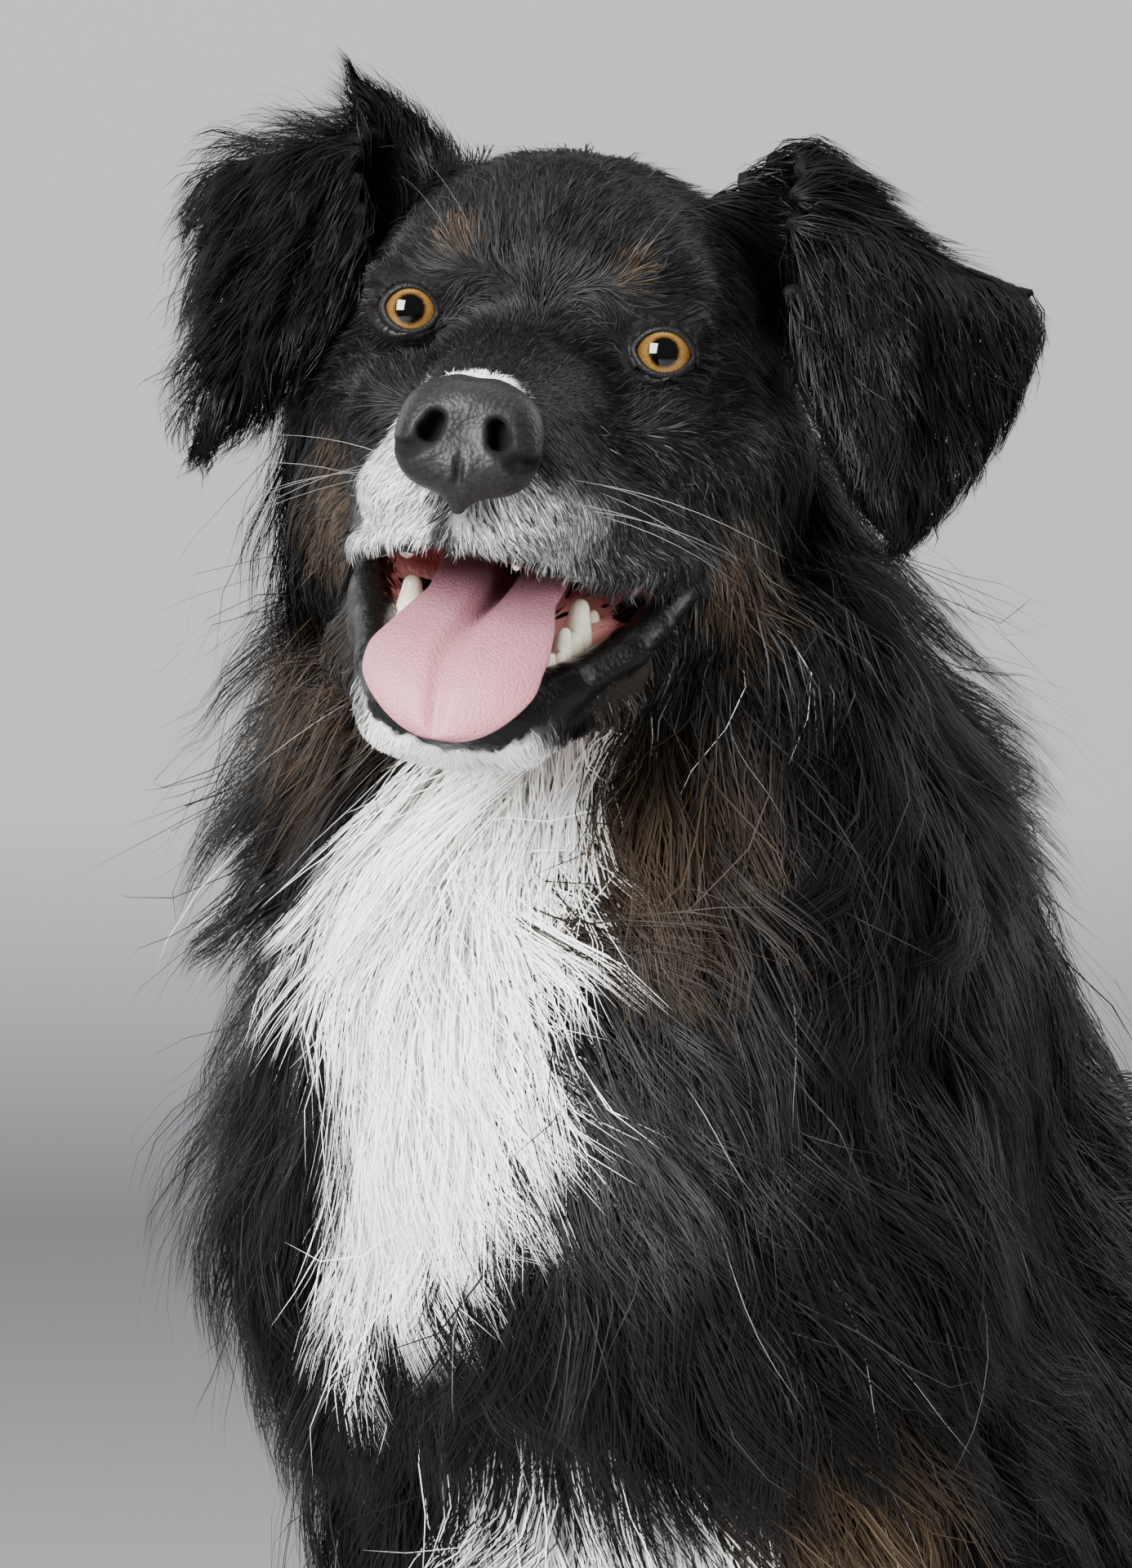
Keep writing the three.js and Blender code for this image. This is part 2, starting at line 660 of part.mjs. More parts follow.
// How far the core fills the long coat, and how far the locks rise over it.
const coreDepth = (name) => COAT[name] * CORE_SHARE;
const rise = (name) => COAT[name] * (1 - CORE_SHARE);
const seat = (form, depth) => (p) => form(p) - depth;

// The ruff stands clear of the face, which looks out of it to the front left.
const FACE_AT = [34, -392, 596];
const faceRoom = ball(FACE_AT, [78, 84, 74]);
const neckCore = carve(24, seat(NECK_FORM, coreDepth("neck")), faceRoom);
const torsoCore = seat(TORSO_FORM, coreDepth("torso"));
const thighCores = bothSides((s) => seat(thighForm(s), coreDepth("thigh")));
const forelegs = bothSides((s) => seat(forelegForm(s), COAT.leg));
const bodyCore = (p) => Math.min(...[neckCore, torsoCore, ...thighCores, ...forelegs].map((form) => form(p)));
const wholeCore = (p) => Math.min(bodyCore(p), headCore(p));

// The lie of the coat: down the chest, and more and more backwards towards the back.
const lieFrom = (front, back) => (p) => {
  const share = THREE.MathUtils.clamp((p.y + 330) / 200, 0, 1);
  return new THREE.Vector3(Math.sign(p.x) * 0.25 * (1 - share), THREE.MathUtils.lerp(front, back, share), -1);
};

const NECK_SPINE = [[0, -246, 490], [2, -252, 590]];
const neckLocks = coatOf(neckCore, NECK_SPINE, {
  seed: 11,
  count: 32,
  to: 1.22,
  length: 112,
  width: 60,
  thick: 5,
  rise: rise("neck"),
  lie: lieFrom(0, 0.6),
  over: wholeCore,
  keep: (p) => faceRoom(p) > 0 && headCore(p) > -4,
});

const TORSO_SPINE = [[0, -250, 470], [0, -250, 390], [0, -165, 270], [0, -70, 150], [0, -30, 100]];
const TORSO_LOCK = {
  length: 124,
  width: 70,
  thick: 5,
  rise: rise("torso"),
  lie: lieFrom(0, 0.7),
  over: bodyCore,
};
const bibLocks = coatOf(torsoCore, TORSO_SPINE, {
  ...TORSO_LOCK,
  seed: 3,
  count: 4,
  to: 0.24,
  arc: [60, 120],
  width: 58,
});
const torsoLocks = coatOf(torsoCore, TORSO_SPINE, {
  ...TORSO_LOCK,
  seed: 11,
  count: 60,
  to: 0.95,
  keep: (p, normal) => {
    const legs = [...thighCores, ...forelegs].map((core) => core(p));
    return neckCore(p) > -3 && Math.min(...legs) > 4 && normal.z > -0.45 && p.z > 70;
  },
});

const THIGH_SPINE = (s) => [[s * 74, -26, 112], [s * 90, -90, 124], [s * 100, -140, 142]];
const thighLocks = (s) =>
  coatOf(thighCores[s > 0 ? 0 : 1], THIGH_SPINE(s), {
    seed: 23,
    count: 13,
    arc: s > 0 ? [-40, 95] : [220, 85],
    length: 92,
    width: 60,
    thick: 5,
    rise: rise("thigh"),
    lie: () => new THREE.Vector3(s * 0.1, 0.75, -1),
    over: bodyCore,
    keep: (p) => torsoCore(p) > 0 && p.z > 60,
  });

// ---------------------------------------------------------------- nodes of the body

const withLocks = (core, locks, extra) =>
  join([core, ...locks.map((line) => lockSolid(line, extra))]).subtract(FLOOR_TOOL);

function torsoSolid(extra = 0) {
  const core = wrap(torsoCore, TORSO_SPINE, { sides: 20, rings: 11, caps: 3, level: extra });
  return withLocks(core, [...torsoLocks, ...bibLocks], extra);
}

const neckSolid = (extra = 0) =>
  withLocks(wrap(neckCore, NECK_SPINE, { sides: 20, rings: 5, caps: 4, level: extra }), neckLocks, extra);

// The back of each foreleg carries a fringe of longer locks.
const fringeLocks = (s) => {
  const draw = draws(31 + s);
  const core = seat(forelegForm(s), COAT.leg);
  return [272, 224, 176, 130].map((z) => {
    const root = cast(core, vec([s * 63, -278, z]), new THREE.Vector3(s * 0.1, 1, 0).normalize(), 0);
    const shape = { length: 62, width: 26, thick: 8, rise: 15, hang: 6, over: core, draw };
    return lockLine(root, { ...shape, lie: () => new THREE.Vector3(0, 0.5, -1) });
  });
};

function forelegSolid(s, extra = 0) {
  const spine = [[s * 66, -272, ELBOW_HEIGHT], [s * LEG_X, -284, 120], [s * LEG_X, -290, 70]];
  const core = wrap(forelegForm(s), spine, { sides: 14, rings: 7, caps: 3, level: COAT.leg + extra });
  return withLocks(core, fringeLocks(s), extra);
}

const forepawSolid = (s, extra = 0) =>
  wrap(forepawForm(s), [[s * LEG_X, -290, 50], [s * LEG_X, -298, 26], [s * LEG_X, -325, 18]], {
    sides: 22,
    rings: 5,
    caps: 4,
    level: COAT.paw + extra,
  }).subtract(FLOOR_TOOL);

function thighSolid(s, extra = 0) {
  const form = thighCores[s > 0 ? 0 : 1];
  const core = wrap(form, THIGH_SPINE(s), { sides: 18, rings: 5, caps: 4, level: extra });
  return withLocks(core, thighLocks(s), extra);
}

const hindfootSolid = (s, extra = 0) =>
  wrap(hindfootForm(s), [[s * 108, 4, 32], [s * HIND_X, -110, 22], [s * HIND_X, -168, 18]], {
    sides: 16,
    rings: 7,
    caps: 4,
    level: COAT.paw + extra,
  }).subtract(FLOOR_TOOL);

// The tail lies on the floor and curves round to the dog's left.
const TAIL_PATH = [[10, 40, 84], [24, 92, 56], [74, 140, 40], [146, 158, 34], [214, 138, 32], [262, 92, 30]];
const TAIL_R = [24, 9];
const TAIL_CUTS = [0, 0.36, 0.68, 1];
const tailLine = new THREE.CatmullRomCurve3(TAIL_PATH.map(vec));
const tailFlesh = (t) => THREE.MathUtils.lerp(...TAIL_R, t);
const tailBrush = (t) => COAT.tail * Math.sqrt(Math.sin(Math.PI * Math.min(0.12 + t * 0.86, 1)));

const TAIL_STATIONS = Array.from({ length: 41 }, (_, i) => {
  const t = i / 40;
  const radius = tailFlesh(t) + tailBrush(t) * CORE_SHARE;
  return { at: tailLine.getPointAt(t), along: tailLine.getTangentAt(t), radius };
});
const nearestOnTail = (p) =>
  TAIL_STATIONS.reduce((best, station) =>
    p.distanceTo(station.at) - station.radius < p.distanceTo(best.at) - best.radius ? station : best,
  );
const tailCore = (p) => {
  const { at, radius } = nearestOnTail(p);
  return p.distanceTo(at) - radius;
};

function tailLocks(from, to) {
  const draw = draws(41);
  const count = 4;
  return Array.from({ length: count }, (_, i) => {
    const t = THREE.MathUtils.lerp(from, to, (i + 0.5) / count);
    const along = tailLine.getTangentAt(t);
    const level = UP.clone().addScaledVector(along, -along.dot(UP)).normalize();
    const turn = THREE.MathUtils.degToRad(-110 + 220 * ((i * GOLDEN) % 1)); // none below, on the floor
    const way = level.clone().multiplyScalar(Math.cos(turn));
    way.addScaledVector(along.clone().cross(level), Math.sin(turn));
    return lockLine(cast(tailCore, tailLine.getPointAt(t), way, 0), {
      length: 78,
      width: 48,
      thick: 6,
      rise: tailBrush(t) * (1 - CORE_SHARE),
      lie: (p) => nearestOnTail(p).along.clone().setZ(-0.1),
      over: tailCore,
      draw,
      hang: 3,
    });
  });
}

function tailPiece(from, to, extra = 0) {
  const half = (t) => {
    const r = tailFlesh(t) + tailBrush(t) * CORE_SHARE + extra;
    return [r * 0.85, r];
  };
  const core = band(TAIL_PATH, half, { sides: 12, rings: 4, across: UP, from, to });
  return withLocks(core, tailLocks(from, to), extra);
}

// ---------------------------------------------------------------- materials

const finish = (color, roughness) => new THREE.MeshStandardMaterial({ color, roughness, metalness: 0 });
const BLACK_COAT = finish(0x17171a, 0.75);
const WHITE_COAT = finish(0xe8e4da, 0.8);
const TAN_COAT = finish(0x6e4a26, 0.8);
const NOSE_LEATHER = finish(0x2c2a2b, 0.45);
const EYE_AMBER = finish(0x9a5f22, 0.08);
const TONGUE_PINK = finish(0xd68f97, 0.4);
const LIP_BLACK = finish(0x241d1e, 0.4);

// ---------------------------------------------------------------- assembly

// The head grown by the gap, whole and with the hollow of the mouth.
const headTool = join([skullCore(GAP), muzzleCore(GAP)]);
const openHeadTool = headTool.subtract(mouthHollow(-GAP));
const ears = { left: [1, EAR_ROWS.left], right: [-1, EAR_ROWS.right] };
headFrame.add(
  meshOf("head", headSolid(), BLACK_COAT),
  meshOf("nose", largest(nosePad().subtract(headTool)), NOSE_LEATHER),
  meshOf("eye_left", eyeball(1), EYE_AMBER),
  meshOf("eye_right", eyeball(-1), EYE_AMBER),
  meshOf("jaw", largest(cut(jawSolid(), [openHeadTool, tongueSolid(GAP)])), LIP_BLACK),
  meshOf("tongue", largest(cut(tongueSolid(), [openHeadTool])), TONGUE_PINK),
);
for (const [side, shape] of Object.entries(ears)) {
  headFrame.add(meshOf(`ear_${side}`, largest(earSolid(...shape).subtract(headTool)), BLACK_COAT));
}

const dog = new THREE.Group();
dog.add(headFrame);

// Each node is cut clear of those made before it, so neighbours meet face to face.
const torso = largest(torsoSolid());
const torsoTool = torsoSolid(GAP);
dog.add(meshOf("torso", torso, BLACK_COAT));

const earTools = Object.values(ears).flatMap((shape) => [earSolid(...shape), earSolid(...shape, GAP)]);
const headTools = [headTool, jawCore(GAP), tongueSolid(GAP), ...earTools].map(inBody);
dog.add(meshOf("neck", largest(cut(neckSolid(), [torsoTool, ...headTools])), BLACK_COAT));

for (const [s, side] of [[1, "left"], [-1, "right"]]) {
  const foreleg = largest(cut(forelegSolid(s), [torsoTool]));
  const forelegTool = forelegSolid(s, GAP);
  dog.add(meshOf(`foreleg_${side}`, foreleg, TAN_COAT));
  dog.add(meshOf(`forepaw_${side}`, largest(cut(forepawSolid(s), [forelegTool])), WHITE_COAT));
  const thigh = largest(cut(thighSolid(s), [torsoTool]));
  const thighTool = thighSolid(s, GAP);
  dog.add(meshOf(`thigh_${side}`, thigh, BLACK_COAT));
  dog.add(meshOf(`hindfoot_${side}`, largest(cut(hindfootSolid(s), [torsoTool, thighTool])), WHITE_COAT));
}

for (const [k, name] of ["tail_base", "tail_middle", "tail_tip"].entries()) {
  const [from, to] = [TAIL_CUTS[k], TAIL_CUTS[k + 1]];
  const before = k ? [tailPiece(TAIL_CUTS[k - 1], from, GAP)] : [];
  const tools = [torsoTool, thighSolid(1, GAP), hindfootSolid(1, GAP), ...before];
  dog.add(meshOf(name, largest(cut(tailPiece(from, to), tools)), k < 2 ? BLACK_COAT : WHITE_COAT));
}

export default dog;
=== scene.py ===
import math

import bmesh
import bpy
import numpy as np
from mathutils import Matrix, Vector
from mathutils.kdtree import KDTree


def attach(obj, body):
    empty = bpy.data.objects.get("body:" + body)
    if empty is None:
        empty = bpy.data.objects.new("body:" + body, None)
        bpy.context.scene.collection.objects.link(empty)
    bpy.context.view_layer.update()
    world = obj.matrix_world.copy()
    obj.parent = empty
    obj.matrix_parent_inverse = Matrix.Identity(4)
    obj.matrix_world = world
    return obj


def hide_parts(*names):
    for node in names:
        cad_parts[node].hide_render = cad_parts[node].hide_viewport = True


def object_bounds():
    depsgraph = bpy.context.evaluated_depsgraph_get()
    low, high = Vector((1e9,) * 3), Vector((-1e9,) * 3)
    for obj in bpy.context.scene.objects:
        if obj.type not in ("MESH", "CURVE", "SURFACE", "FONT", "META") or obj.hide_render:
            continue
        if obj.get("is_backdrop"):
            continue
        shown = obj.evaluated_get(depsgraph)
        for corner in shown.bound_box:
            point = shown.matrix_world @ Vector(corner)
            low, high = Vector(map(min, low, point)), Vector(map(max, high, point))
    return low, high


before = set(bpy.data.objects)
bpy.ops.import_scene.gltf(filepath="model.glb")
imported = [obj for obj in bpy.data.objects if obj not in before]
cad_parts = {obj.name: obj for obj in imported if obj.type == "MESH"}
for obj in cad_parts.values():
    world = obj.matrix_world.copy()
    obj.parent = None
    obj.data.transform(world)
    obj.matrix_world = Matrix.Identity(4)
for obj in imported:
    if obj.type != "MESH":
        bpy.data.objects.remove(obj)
CAD_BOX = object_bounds()

MM = 0.001
HEAD_AT = np.array([2.0, -318.0, 647.0])
HEAD_YAW, HEAD_PITCH, HEAD_ROLL = (math.radians(a) for a in (30, -6, 8))
JAW_HINGE = np.array([0.0, 10.0, -36.0])
JAW_OPEN = math.radians(20)
EYE_R = 11.5
EYES_AT = {1: [35.3, -47.0, 7.2], -1: [-36.9, -47.0, 9.4]}  # in the head's frame, by side
GAZE = np.array([0.115, -0.993, -0.01])
ELBOW_HEIGHT = 300.0
LEG_X = 62.0
HIND_X = 112.0
SIDE_NAMES = {1: "left", -1: "right"}  # the dog's sides, by the sign of x
SIDES = tuple(SIDE_NAMES)
TOES = (-1.5, -0.5, 0.5, 1.5)  # a paw's toes, counted from its middle
INCISORS = (-2.5, -1.5, -0.5, 0.5, 1.5, 2.5)  # a jaw's front teeth, counted the same way

# ---------------------------------------------------------------- camera, floor and light

AZIMUTH, ELEVATION = math.radians(37), math.radians(3)
DISTANCE = 1.9  # metres from the lens to the eyes' plane
BETWEEN_EYES = Vector((0.0285, -0.3625, 0.6610))
EYES_PIXEL = (656.0, 405.0)  # where that point falls in the picture
PICTURE = (1386.0, 1920.0)
PIXELS_PER_METRE = 4400.0
SENSOR = 24.0  # the sensor's height in millimetres
LIT_POINT = Vector((0.0, -0.28, 0.52))  # the throat, which the softboxes face
COOL = (0.95, 0.97, 1.0)


def placed(name, data):
    """A new object in the scene."""
    thing = bpy.data.objects.new(name, data)
    bpy.context.collection.objects.link(thing)
    return thing


def add_camera():
    """The scene's lens; gives the way to the picture's right and the way back to the lens."""
    flat = math.cos(ELEVATION)
    back = Vector((math.sin(AZIMUTH) * flat, -math.cos(AZIMUTH) * flat, math.sin(ELEVATION)))
    turn = (-back).to_track_quat("-Z", "Y")
    right, up = turn @ Vector((1, 0, 0)), turn @ Vector((0, 1, 0))
    aside = (EYES_PIXEL[0] - PICTURE[0] / 2) / PIXELS_PER_METRE
    above = (PICTURE[1] / 2 - EYES_PIXEL[1]) / PIXELS_PER_METRE
    data = bpy.data.cameras.new("studio_camera")
    data.sensor_fit = "VERTICAL"
    data.sensor_height = SENSOR
    data.lens = SENSOR * DISTANCE / (PICTURE[1] / PIXELS_PER_METRE)
    data.clip_start, data.clip_end = 0.05, 60.0
    camera = placed("studio_camera", data)
    camera.rotation_mode = "QUATERNION"
    camera.rotation_quaternion = turn
    camera.location = BETWEEN_EYES - right * aside - up * above + back * DISTANCE
    bpy.context.scene.camera = camera
    return right, back


CAMERA_RIGHT, CAMERA_BACK = add_camera()
FLAT_BACK = Vector((CAMERA_BACK.x, CAMERA_BACK.y, 0)).normalized()


def add_light(name, aside, height, toward, size, power, color=(1, 1, 1), shines=True):
    """A softbox, placed from the throat: aside to the camera's right, up, and toward the camera."""
    data = bpy.data.lights.new(name, "AREA")
    data.shape = "RECTANGLE"
    data.size, data.size_y = size
    data.energy = power
    data.color = color
    light = placed(name, data)
    light.location = LIT_POINT + CAMERA_RIGHT * aside + Vector((0, 0, height)) + FLAT_BACK * toward
    light.rotation_mode = "QUATERNION"
    light.rotation_quaternion = (LIT_POINT - light.location).to_track_quat("-Z", "Y")
    light.visible_glossy = shines


add_light("key_softbox", -1.3, 0.95, 1.9, (1.0, 1.3), 258)
add_light("fill_softbox", 1.7, 0.45, 1.7, (1.0, 1.4), 80, shines=False)
add_light("rim_softbox_left", -1.7, 0.9, -1.3, (0.7, 1.8), 22, COOL)
add_light("rim_softbox_right", 1.7, 1.1, -1.1, (0.7, 1.8), 26, COOL)
add_light("top_softbox", 0.0, 2.1, 0.1, (1.6, 1.6), 34)


def set_sky(color, strength):
    world = bpy.data.worlds.new("studio_air")
    world.use_nodes = True
    background = world.node_tree.nodes["Background"]
    background.inputs["Color"].default_value = (*color, 1)
    background.inputs["Strength"].default_value = strength
    bpy.context.scene.world = world


set_sky((0.80, 0.80, 0.83), 0.22)

# ---------------------------------------------------------------- forms
# A form takes points as rows and gives each one's distance outside its surface.


def length_of(rows):
    return np.sqrt(np.einsum("...j,...j->...", rows, rows))


def unit(rows):
    """Rows scaled to a length of one."""
    return rows / np.maximum(length_of(rows), 1e-9)[..., None]


def limb(a, b, ra, rb, wide=1.0):
    """A tapered limb from a to b, its sides narrowed or widened by `wide`."""
    start, line = np.array(a, float), np.subtract(b, a).astype(float)

    def form(p):
        offset = p - start
        h = np.clip(offset @ line / (line @ line), 0, 1)
        offset -= h[:, None] * line
        offset[:, 0] /= wide
        return length_of(offset) - (ra + (rb - ra) * h)

    return form


def ball(at, size):
    centre, radii = np.array(at, float), np.array(size, float)

    def form(p):
        q = (p - centre) / radii
        inside = length_of(q)
        return inside * (inside - 1) / np.maximum(length_of(q / radii), 1e-6)

    return form


def smallest(d, e, soft):
    h = np.maximum(soft - np.abs(d - e), 0) / soft
    return np.minimum(d, e) - h * h * soft / 4


def blend(soft, *forms):
    """Several forms blended into one, with fillets of about `soft`."""

    def form(p):
        d = forms[0](p)
        for other in forms[1:]:
            d = smallest(d, other(p), soft)
        return d

    return form


def carve(soft, form, hollow):
    """A form with another one hollowed out of it."""
    return lambda p: -smallest(-form(p), hollow(p), soft)


def within(low, high, form, reach=45.0):
    """A form worked out in full only within `reach` of its box, and by the box's distance beyond."""
    low, high = np.array(low, float), np.array(high, float)

    def fast(p):
        d = length_of(np.maximum(np.maximum(low - p, p - high), 0))
        near = d < reach
        if near.any():
            d[near] = form(p[near])
        return d

    return fast


def both_sides(make):
    return [make(s) for s in SIDES]


def chain(points, radii):
    """Limbs through a row of points, one after another."""
    return [limb(*points[i : i + 2], *radii[i : i + 2]) for i in range(len(points) - 1)]


SLOPE_STEP = 0.4


def slope(form, p):
    """The unit direction out of a form at each point, and the form's values there."""
    d = form(p)
    return unit(np.stack([form(p + shift) - d for shift in np.eye(3) * SLOPE_STEP], 1)), d


# ---------------------------------------------------------------- the head's own frame


def turn_about(axis, angle):
    c, s = math.cos(angle), math.sin(angle)
    i, j = [(1, 2), (2, 0), (0, 1)][axis]
    m = np.eye(3)
    m[i, i] = m[j, j] = c
    m[i, j], m[j, i] = -s, s
    return m


HEAD_TURN = turn_about(2, HEAD_YAW) @ turn_about(0, HEAD_PITCH) @ turn_about(1, HEAD_ROLL)


def to_head(p):
    return (p - HEAD_AT) @ HEAD_TURN


def from_head(p):
    return np.asarray(p, float) @ HEAD_TURN.T + HEAD_AT


def open_jaw(p):
    """Points of the lower jaw are given for a closed mouth and turned down about the hinge."""
    return (np.asarray(p, float) - JAW_HINGE) @ turn_about(0, JAW_OPEN).T + JAW_HINGE


# ---------------------------------------------------------------- the body's flesh


def torso_form():
    shoulders = both_sides(lambda s: ball([s * 48, -284, 470], [42, 40, 50]))
    blades = both_sides(lambda s: limb([s * 44, -218, 468], [s * 62, -296, 398], 38, 38))
    arms = both_sides(lambda s: limb([s * 62, -294, 392], [s * 64, -272, ELBOW_HEIGHT + 12], 36, 32))
    return blend(
        40,
        limb([0, -258, 440], [0, -162, 275], 96, 104, 0.82),
        limb([0, -165, 270], [0, -55, 140], 104, 92, 0.9),
        ball([0, -28, 96], [98, 84, 92]),
        limb([0, -182, 480], [0, -100, 330], 57, 66),
        ball([0, -316, 410], [50, 38, 60]),
        *shoulders,
        *blades,
        *arms,
    )


def neck_form():
    return blend(
        30,
        limb([0, -236, 470], [2, -256, 600], 76, 38),
        limb([0, -286, 470], [2, -288, 552], 66, 34),
        ball([42, -280, 528], [36, 34, 50]),
        ball([-58, -284, 534], [40, 34, 56]),
    )


def toes(s, x, y, size):
    return [
        ball([s * x + k * size * 0.62, y + abs(k) * 6, size * 0.5], [size * 0.40, size, size * 0.56])
        for k in TOES
    ]


def foreleg_form(s):
    upper = limb([s * 66, -272, ELBOW_HEIGHT], [s * LEG_X, -284, 120], 31, 19, 0.9)
    lower = limb([s * LEG_X, -284, 120], [s * LEG_X, -290, 62], 20, 18)
    return within([s * 65 - 40, -320, 30], [s * 65 + 40, -235, 335], blend(14, upper, lower))


def forepaw_form(s):
    pastern = limb([s * LEG_X, -290, 58], [s * LEG_X, -300, 24], 19, 22)
    pad = ball([s * LEG_X, -308, 20], [27, 36, 19])
    paw = blend(5, pastern, pad, *toes(s, LEG_X, -334, 21))
    return within([s * LEG_X - 36, -360, 0], [s * LEG_X + 36, -265, 80], paw)


def thigh_form(s):
    hip = limb([s * 66, -22, 128], [s * 100, -150, 150], 74, 52)
    shank = limb([s * 104, -150, 140], [s * 104, -40, 62], 44, 32)
    return within([s * 85 - 80, -205, 20], [s * 85 + 80, 55, 205], blend(30, hip, shank))


def hindfoot_form(s):
    metatarsus = limb([s * 108, 6, 34], [s * HIND_X, -120, 22], 23, 20)
    pad = ball([s * HIND_X, -150, 20], [27, 38, 19])
    foot = blend(6, metatarsus, pad, *toes(s, HIND_X, -178, 21))
    return within([s * HIND_X - 36, -202, 0], [s * HIND_X + 36, 34, 60], foot)


def smooth_path(points, count):
    """Evenly spread points on a curve through a few, and its directions there."""
    knots = np.array([points[0], *points, points[-1]], float)
    knots[0] = 2 * knots[1] - knots[2]
    knots[-1] = 2 * knots[-2] - knots[-3]
    fine = []
    for i in range(1, len(knots) - 2):
        a, b, c, d = knots[i - 1 : i + 3]
        t = np.linspace(0, 1, 24, endpoint=False)[:, None]
        bend, twist = 2 * a - 5 * b + 4 * c - d, 3 * b - a - 3 * c + d
        fine.append(0.5 * (2 * b + (c - a) * t + bend * t**2 + twist * t**3))
    fine = np.concatenate([*fine, knots[-2:-1]])
    walked = np.concatenate([[0], np.cumsum(length_of(np.diff(fine, axis=0)))])
    at = np.interp(np.linspace(0, walked[-1], count)[:, None], walked, np.arange(len(fine)))
    low = np.clip(at.astype(int)[:, 0], 0, len(fine) - 2)
    share = at[:, 0] - low
    line = fine[low] * (1 - share)[:, None] + fine[low + 1] * share[:, None]
    return line, unit(np.gradient(line, axis=0))


TAIL_BONES = 25
TAIL_LINE, TAIL_ALONG = smooth_path(
    [[10, 40, 84], [24, 92, 56], [74, 140, 40], [146, 158, 34], [214, 138, 32], [262, 92, 30]], TAIL_BONES
)
TAIL_RADII = np.linspace(24, 9, TAIL_BONES)


def tail_form():
    return within([-20, 10, 10], [290, 190, 115], blend(10, *chain(TAIL_LINE, TAIL_RADII)))


# ---------------------------------------------------------------- the head's flesh


def skull_form():
    brows = both_sides(lambda s: ball([s * 27, -42, 25], [16, 15, 11]))
    cheek_bones = both_sides(lambda s: limb([s * 50, 6, -10], [s * 36, -48, -18], 20, 14))
    jaw_muscles = both_sides(lambda s: ball([s * 38, 10, -38], [24, 36, 36]))
    corners = both_sides(lambda s: limb([s * 36, 0, -52], [s * 38, -26, -50], 20, 13))
    return blend(
        14,
        ball([0, 8, 14], [57, 64, 50]),
        ball([0, 52, 8], [38, 28, 36]),
        ball([0, -28, 24], [42, 28, 30]),
        *brows,
        *cheek_bones,
        *jaw_muscles,
        *corners,
    )


def muzzle_form():
    return blend(
        12,
        limb([0, -44, -18], [0, -128, -34], 30, 20, 1.02),
        limb([0, -50, -8], [0, -138, -27], 13, 11, 1.2),
        *both_sides(lambda s: limb([s * 35, -48, -40], [s * 16, -129, -46], 11, 12)),
    )


# Each side's upper lip runs from the nose to the corner of the mouth, and its lower lip, given for
# a closed mouth, from the corner to the chin.
UPPER_LIP = {
    1: [[0, -141, -56], [12, -136, -58], [21, -118, -59], [34, -84, -57], [43, -58, -52], [49, -38, -48]],
    -1: [
        [0, -141, -56],
        [-12, -137, -59],
        [-25, -118, -60],
        [-32, -95, -60],
        [-37, -62, -55],
        [-39, -40, -50],
    ],
}
LOWER_LIP = {
    1: [[49, -36, -41], [44, -59, -45], [40, -75, -48], [28, -101, -53], [11, -121, -58], [0, -125, -60]],
    -1: [
        [-39, -38, -43],
        [-36, -58, -46],
        [-31, -76, -49],
        [-25, -100, -52],
        [-14, -119, -57],
        [0, -125, -60],
    ],
}
UPPER_LIP_RADII = [3.2, 3.6, 3.8, 3.8, 3.4, 3.6]
LOWER_LIP_RADII = [4.2, 5.2, 5.6, 5.8, 5.0, 4.6]


def upper_lip(s):
    return blend(3, *chain(UPPER_LIP[s], UPPER_LIP_RADII))


def lower_lip(s):
    return blend(3, *chain(open_jaw(LOWER_LIP[s]), LOWER_LIP_RADII))


def jaw_form():
    jaw = blend(
        10,
        *both_sides(lambda s: limb(open_jaw([s * 36, -8, -50]), open_jaw([s * 31, -62, -60]), 13, 11)),
        *both_sides(lambda s: limb(open_jaw([s * 31, -62, -60]), open_jaw([s * 16, -110, -62]), 11, 11)),
        limb(open_jaw([0, 0, -60]), open_jaw([0, -104, -65]), 18, 12, 1.6),
        ball(open_jaw([0, -114, -62]), [18, 14, 11]),
    )
    trough = limb(open_jaw([0, 10, -40]), open_jaw([0, -98, -44]), 21, 14)
    return blend(5, carve(4, jaw, trough), *both_sides(lower_lip))


EAR_STEPS = 16
NOSE_SEAT = [0, -154, -34]


def ear_edges(side):
    """The ear's edge near the face and its outer edge, from the base over the fold to the tip."""
    rows = {
        1: [
            [[34, 0, 50], [58, 40, 18]],
            [[44, 6, 65], [88, 42, 44]],
            [[58, 6, 75], [124, 24, 46]],
            [[62, -10, 63], [131, 10, 37]],
            [[67, -16, 25], [121, 0, -2]],
            [[94, -17, -19], [109, -12, -24]],
        ],
        -1: [
            [[-36, 0, 46], [-56, 40, 18]],
            [[-48, 6, 60], [-82, 48, 40]],
            [[-62, 4, 65], [-104, 40, 54]],
            [[-66, -10, 56], [-109, 28, 46]],
            [[-60, -16, 23], [-103, 8, 10]],
            [[-84, -14, -17], [-97, -8, -22]],
        ],
    }[side]
    return [smooth_path([row[edge] for row in rows], EAR_STEPS)[0] for edge in (0, 1)]


def ear_form(side):
    inner, outer = ear_edges(side)
    strips = []
    for i, (a, b) in enumerate(zip(inner, outer)):
        middle = (a + b) / 2 - [0, 6 * min(1, i / 6), 0]
        strips += [limb(a, middle, 3.0, 3.4), limb(middle, b, 3.4, 2.8)]
    low = np.minimum(inner.min(0), outer.min(0)) - [4, 10, 4]
    high = np.maximum(inner.max(0), outer.max(0)) + 4
    return within(low, high, blend(5, *strips), 30)


EARS = {side: ear_form(side) for side in SIDES}


def eye_centre(s):
    return np.array(EYES_AT[s], float)


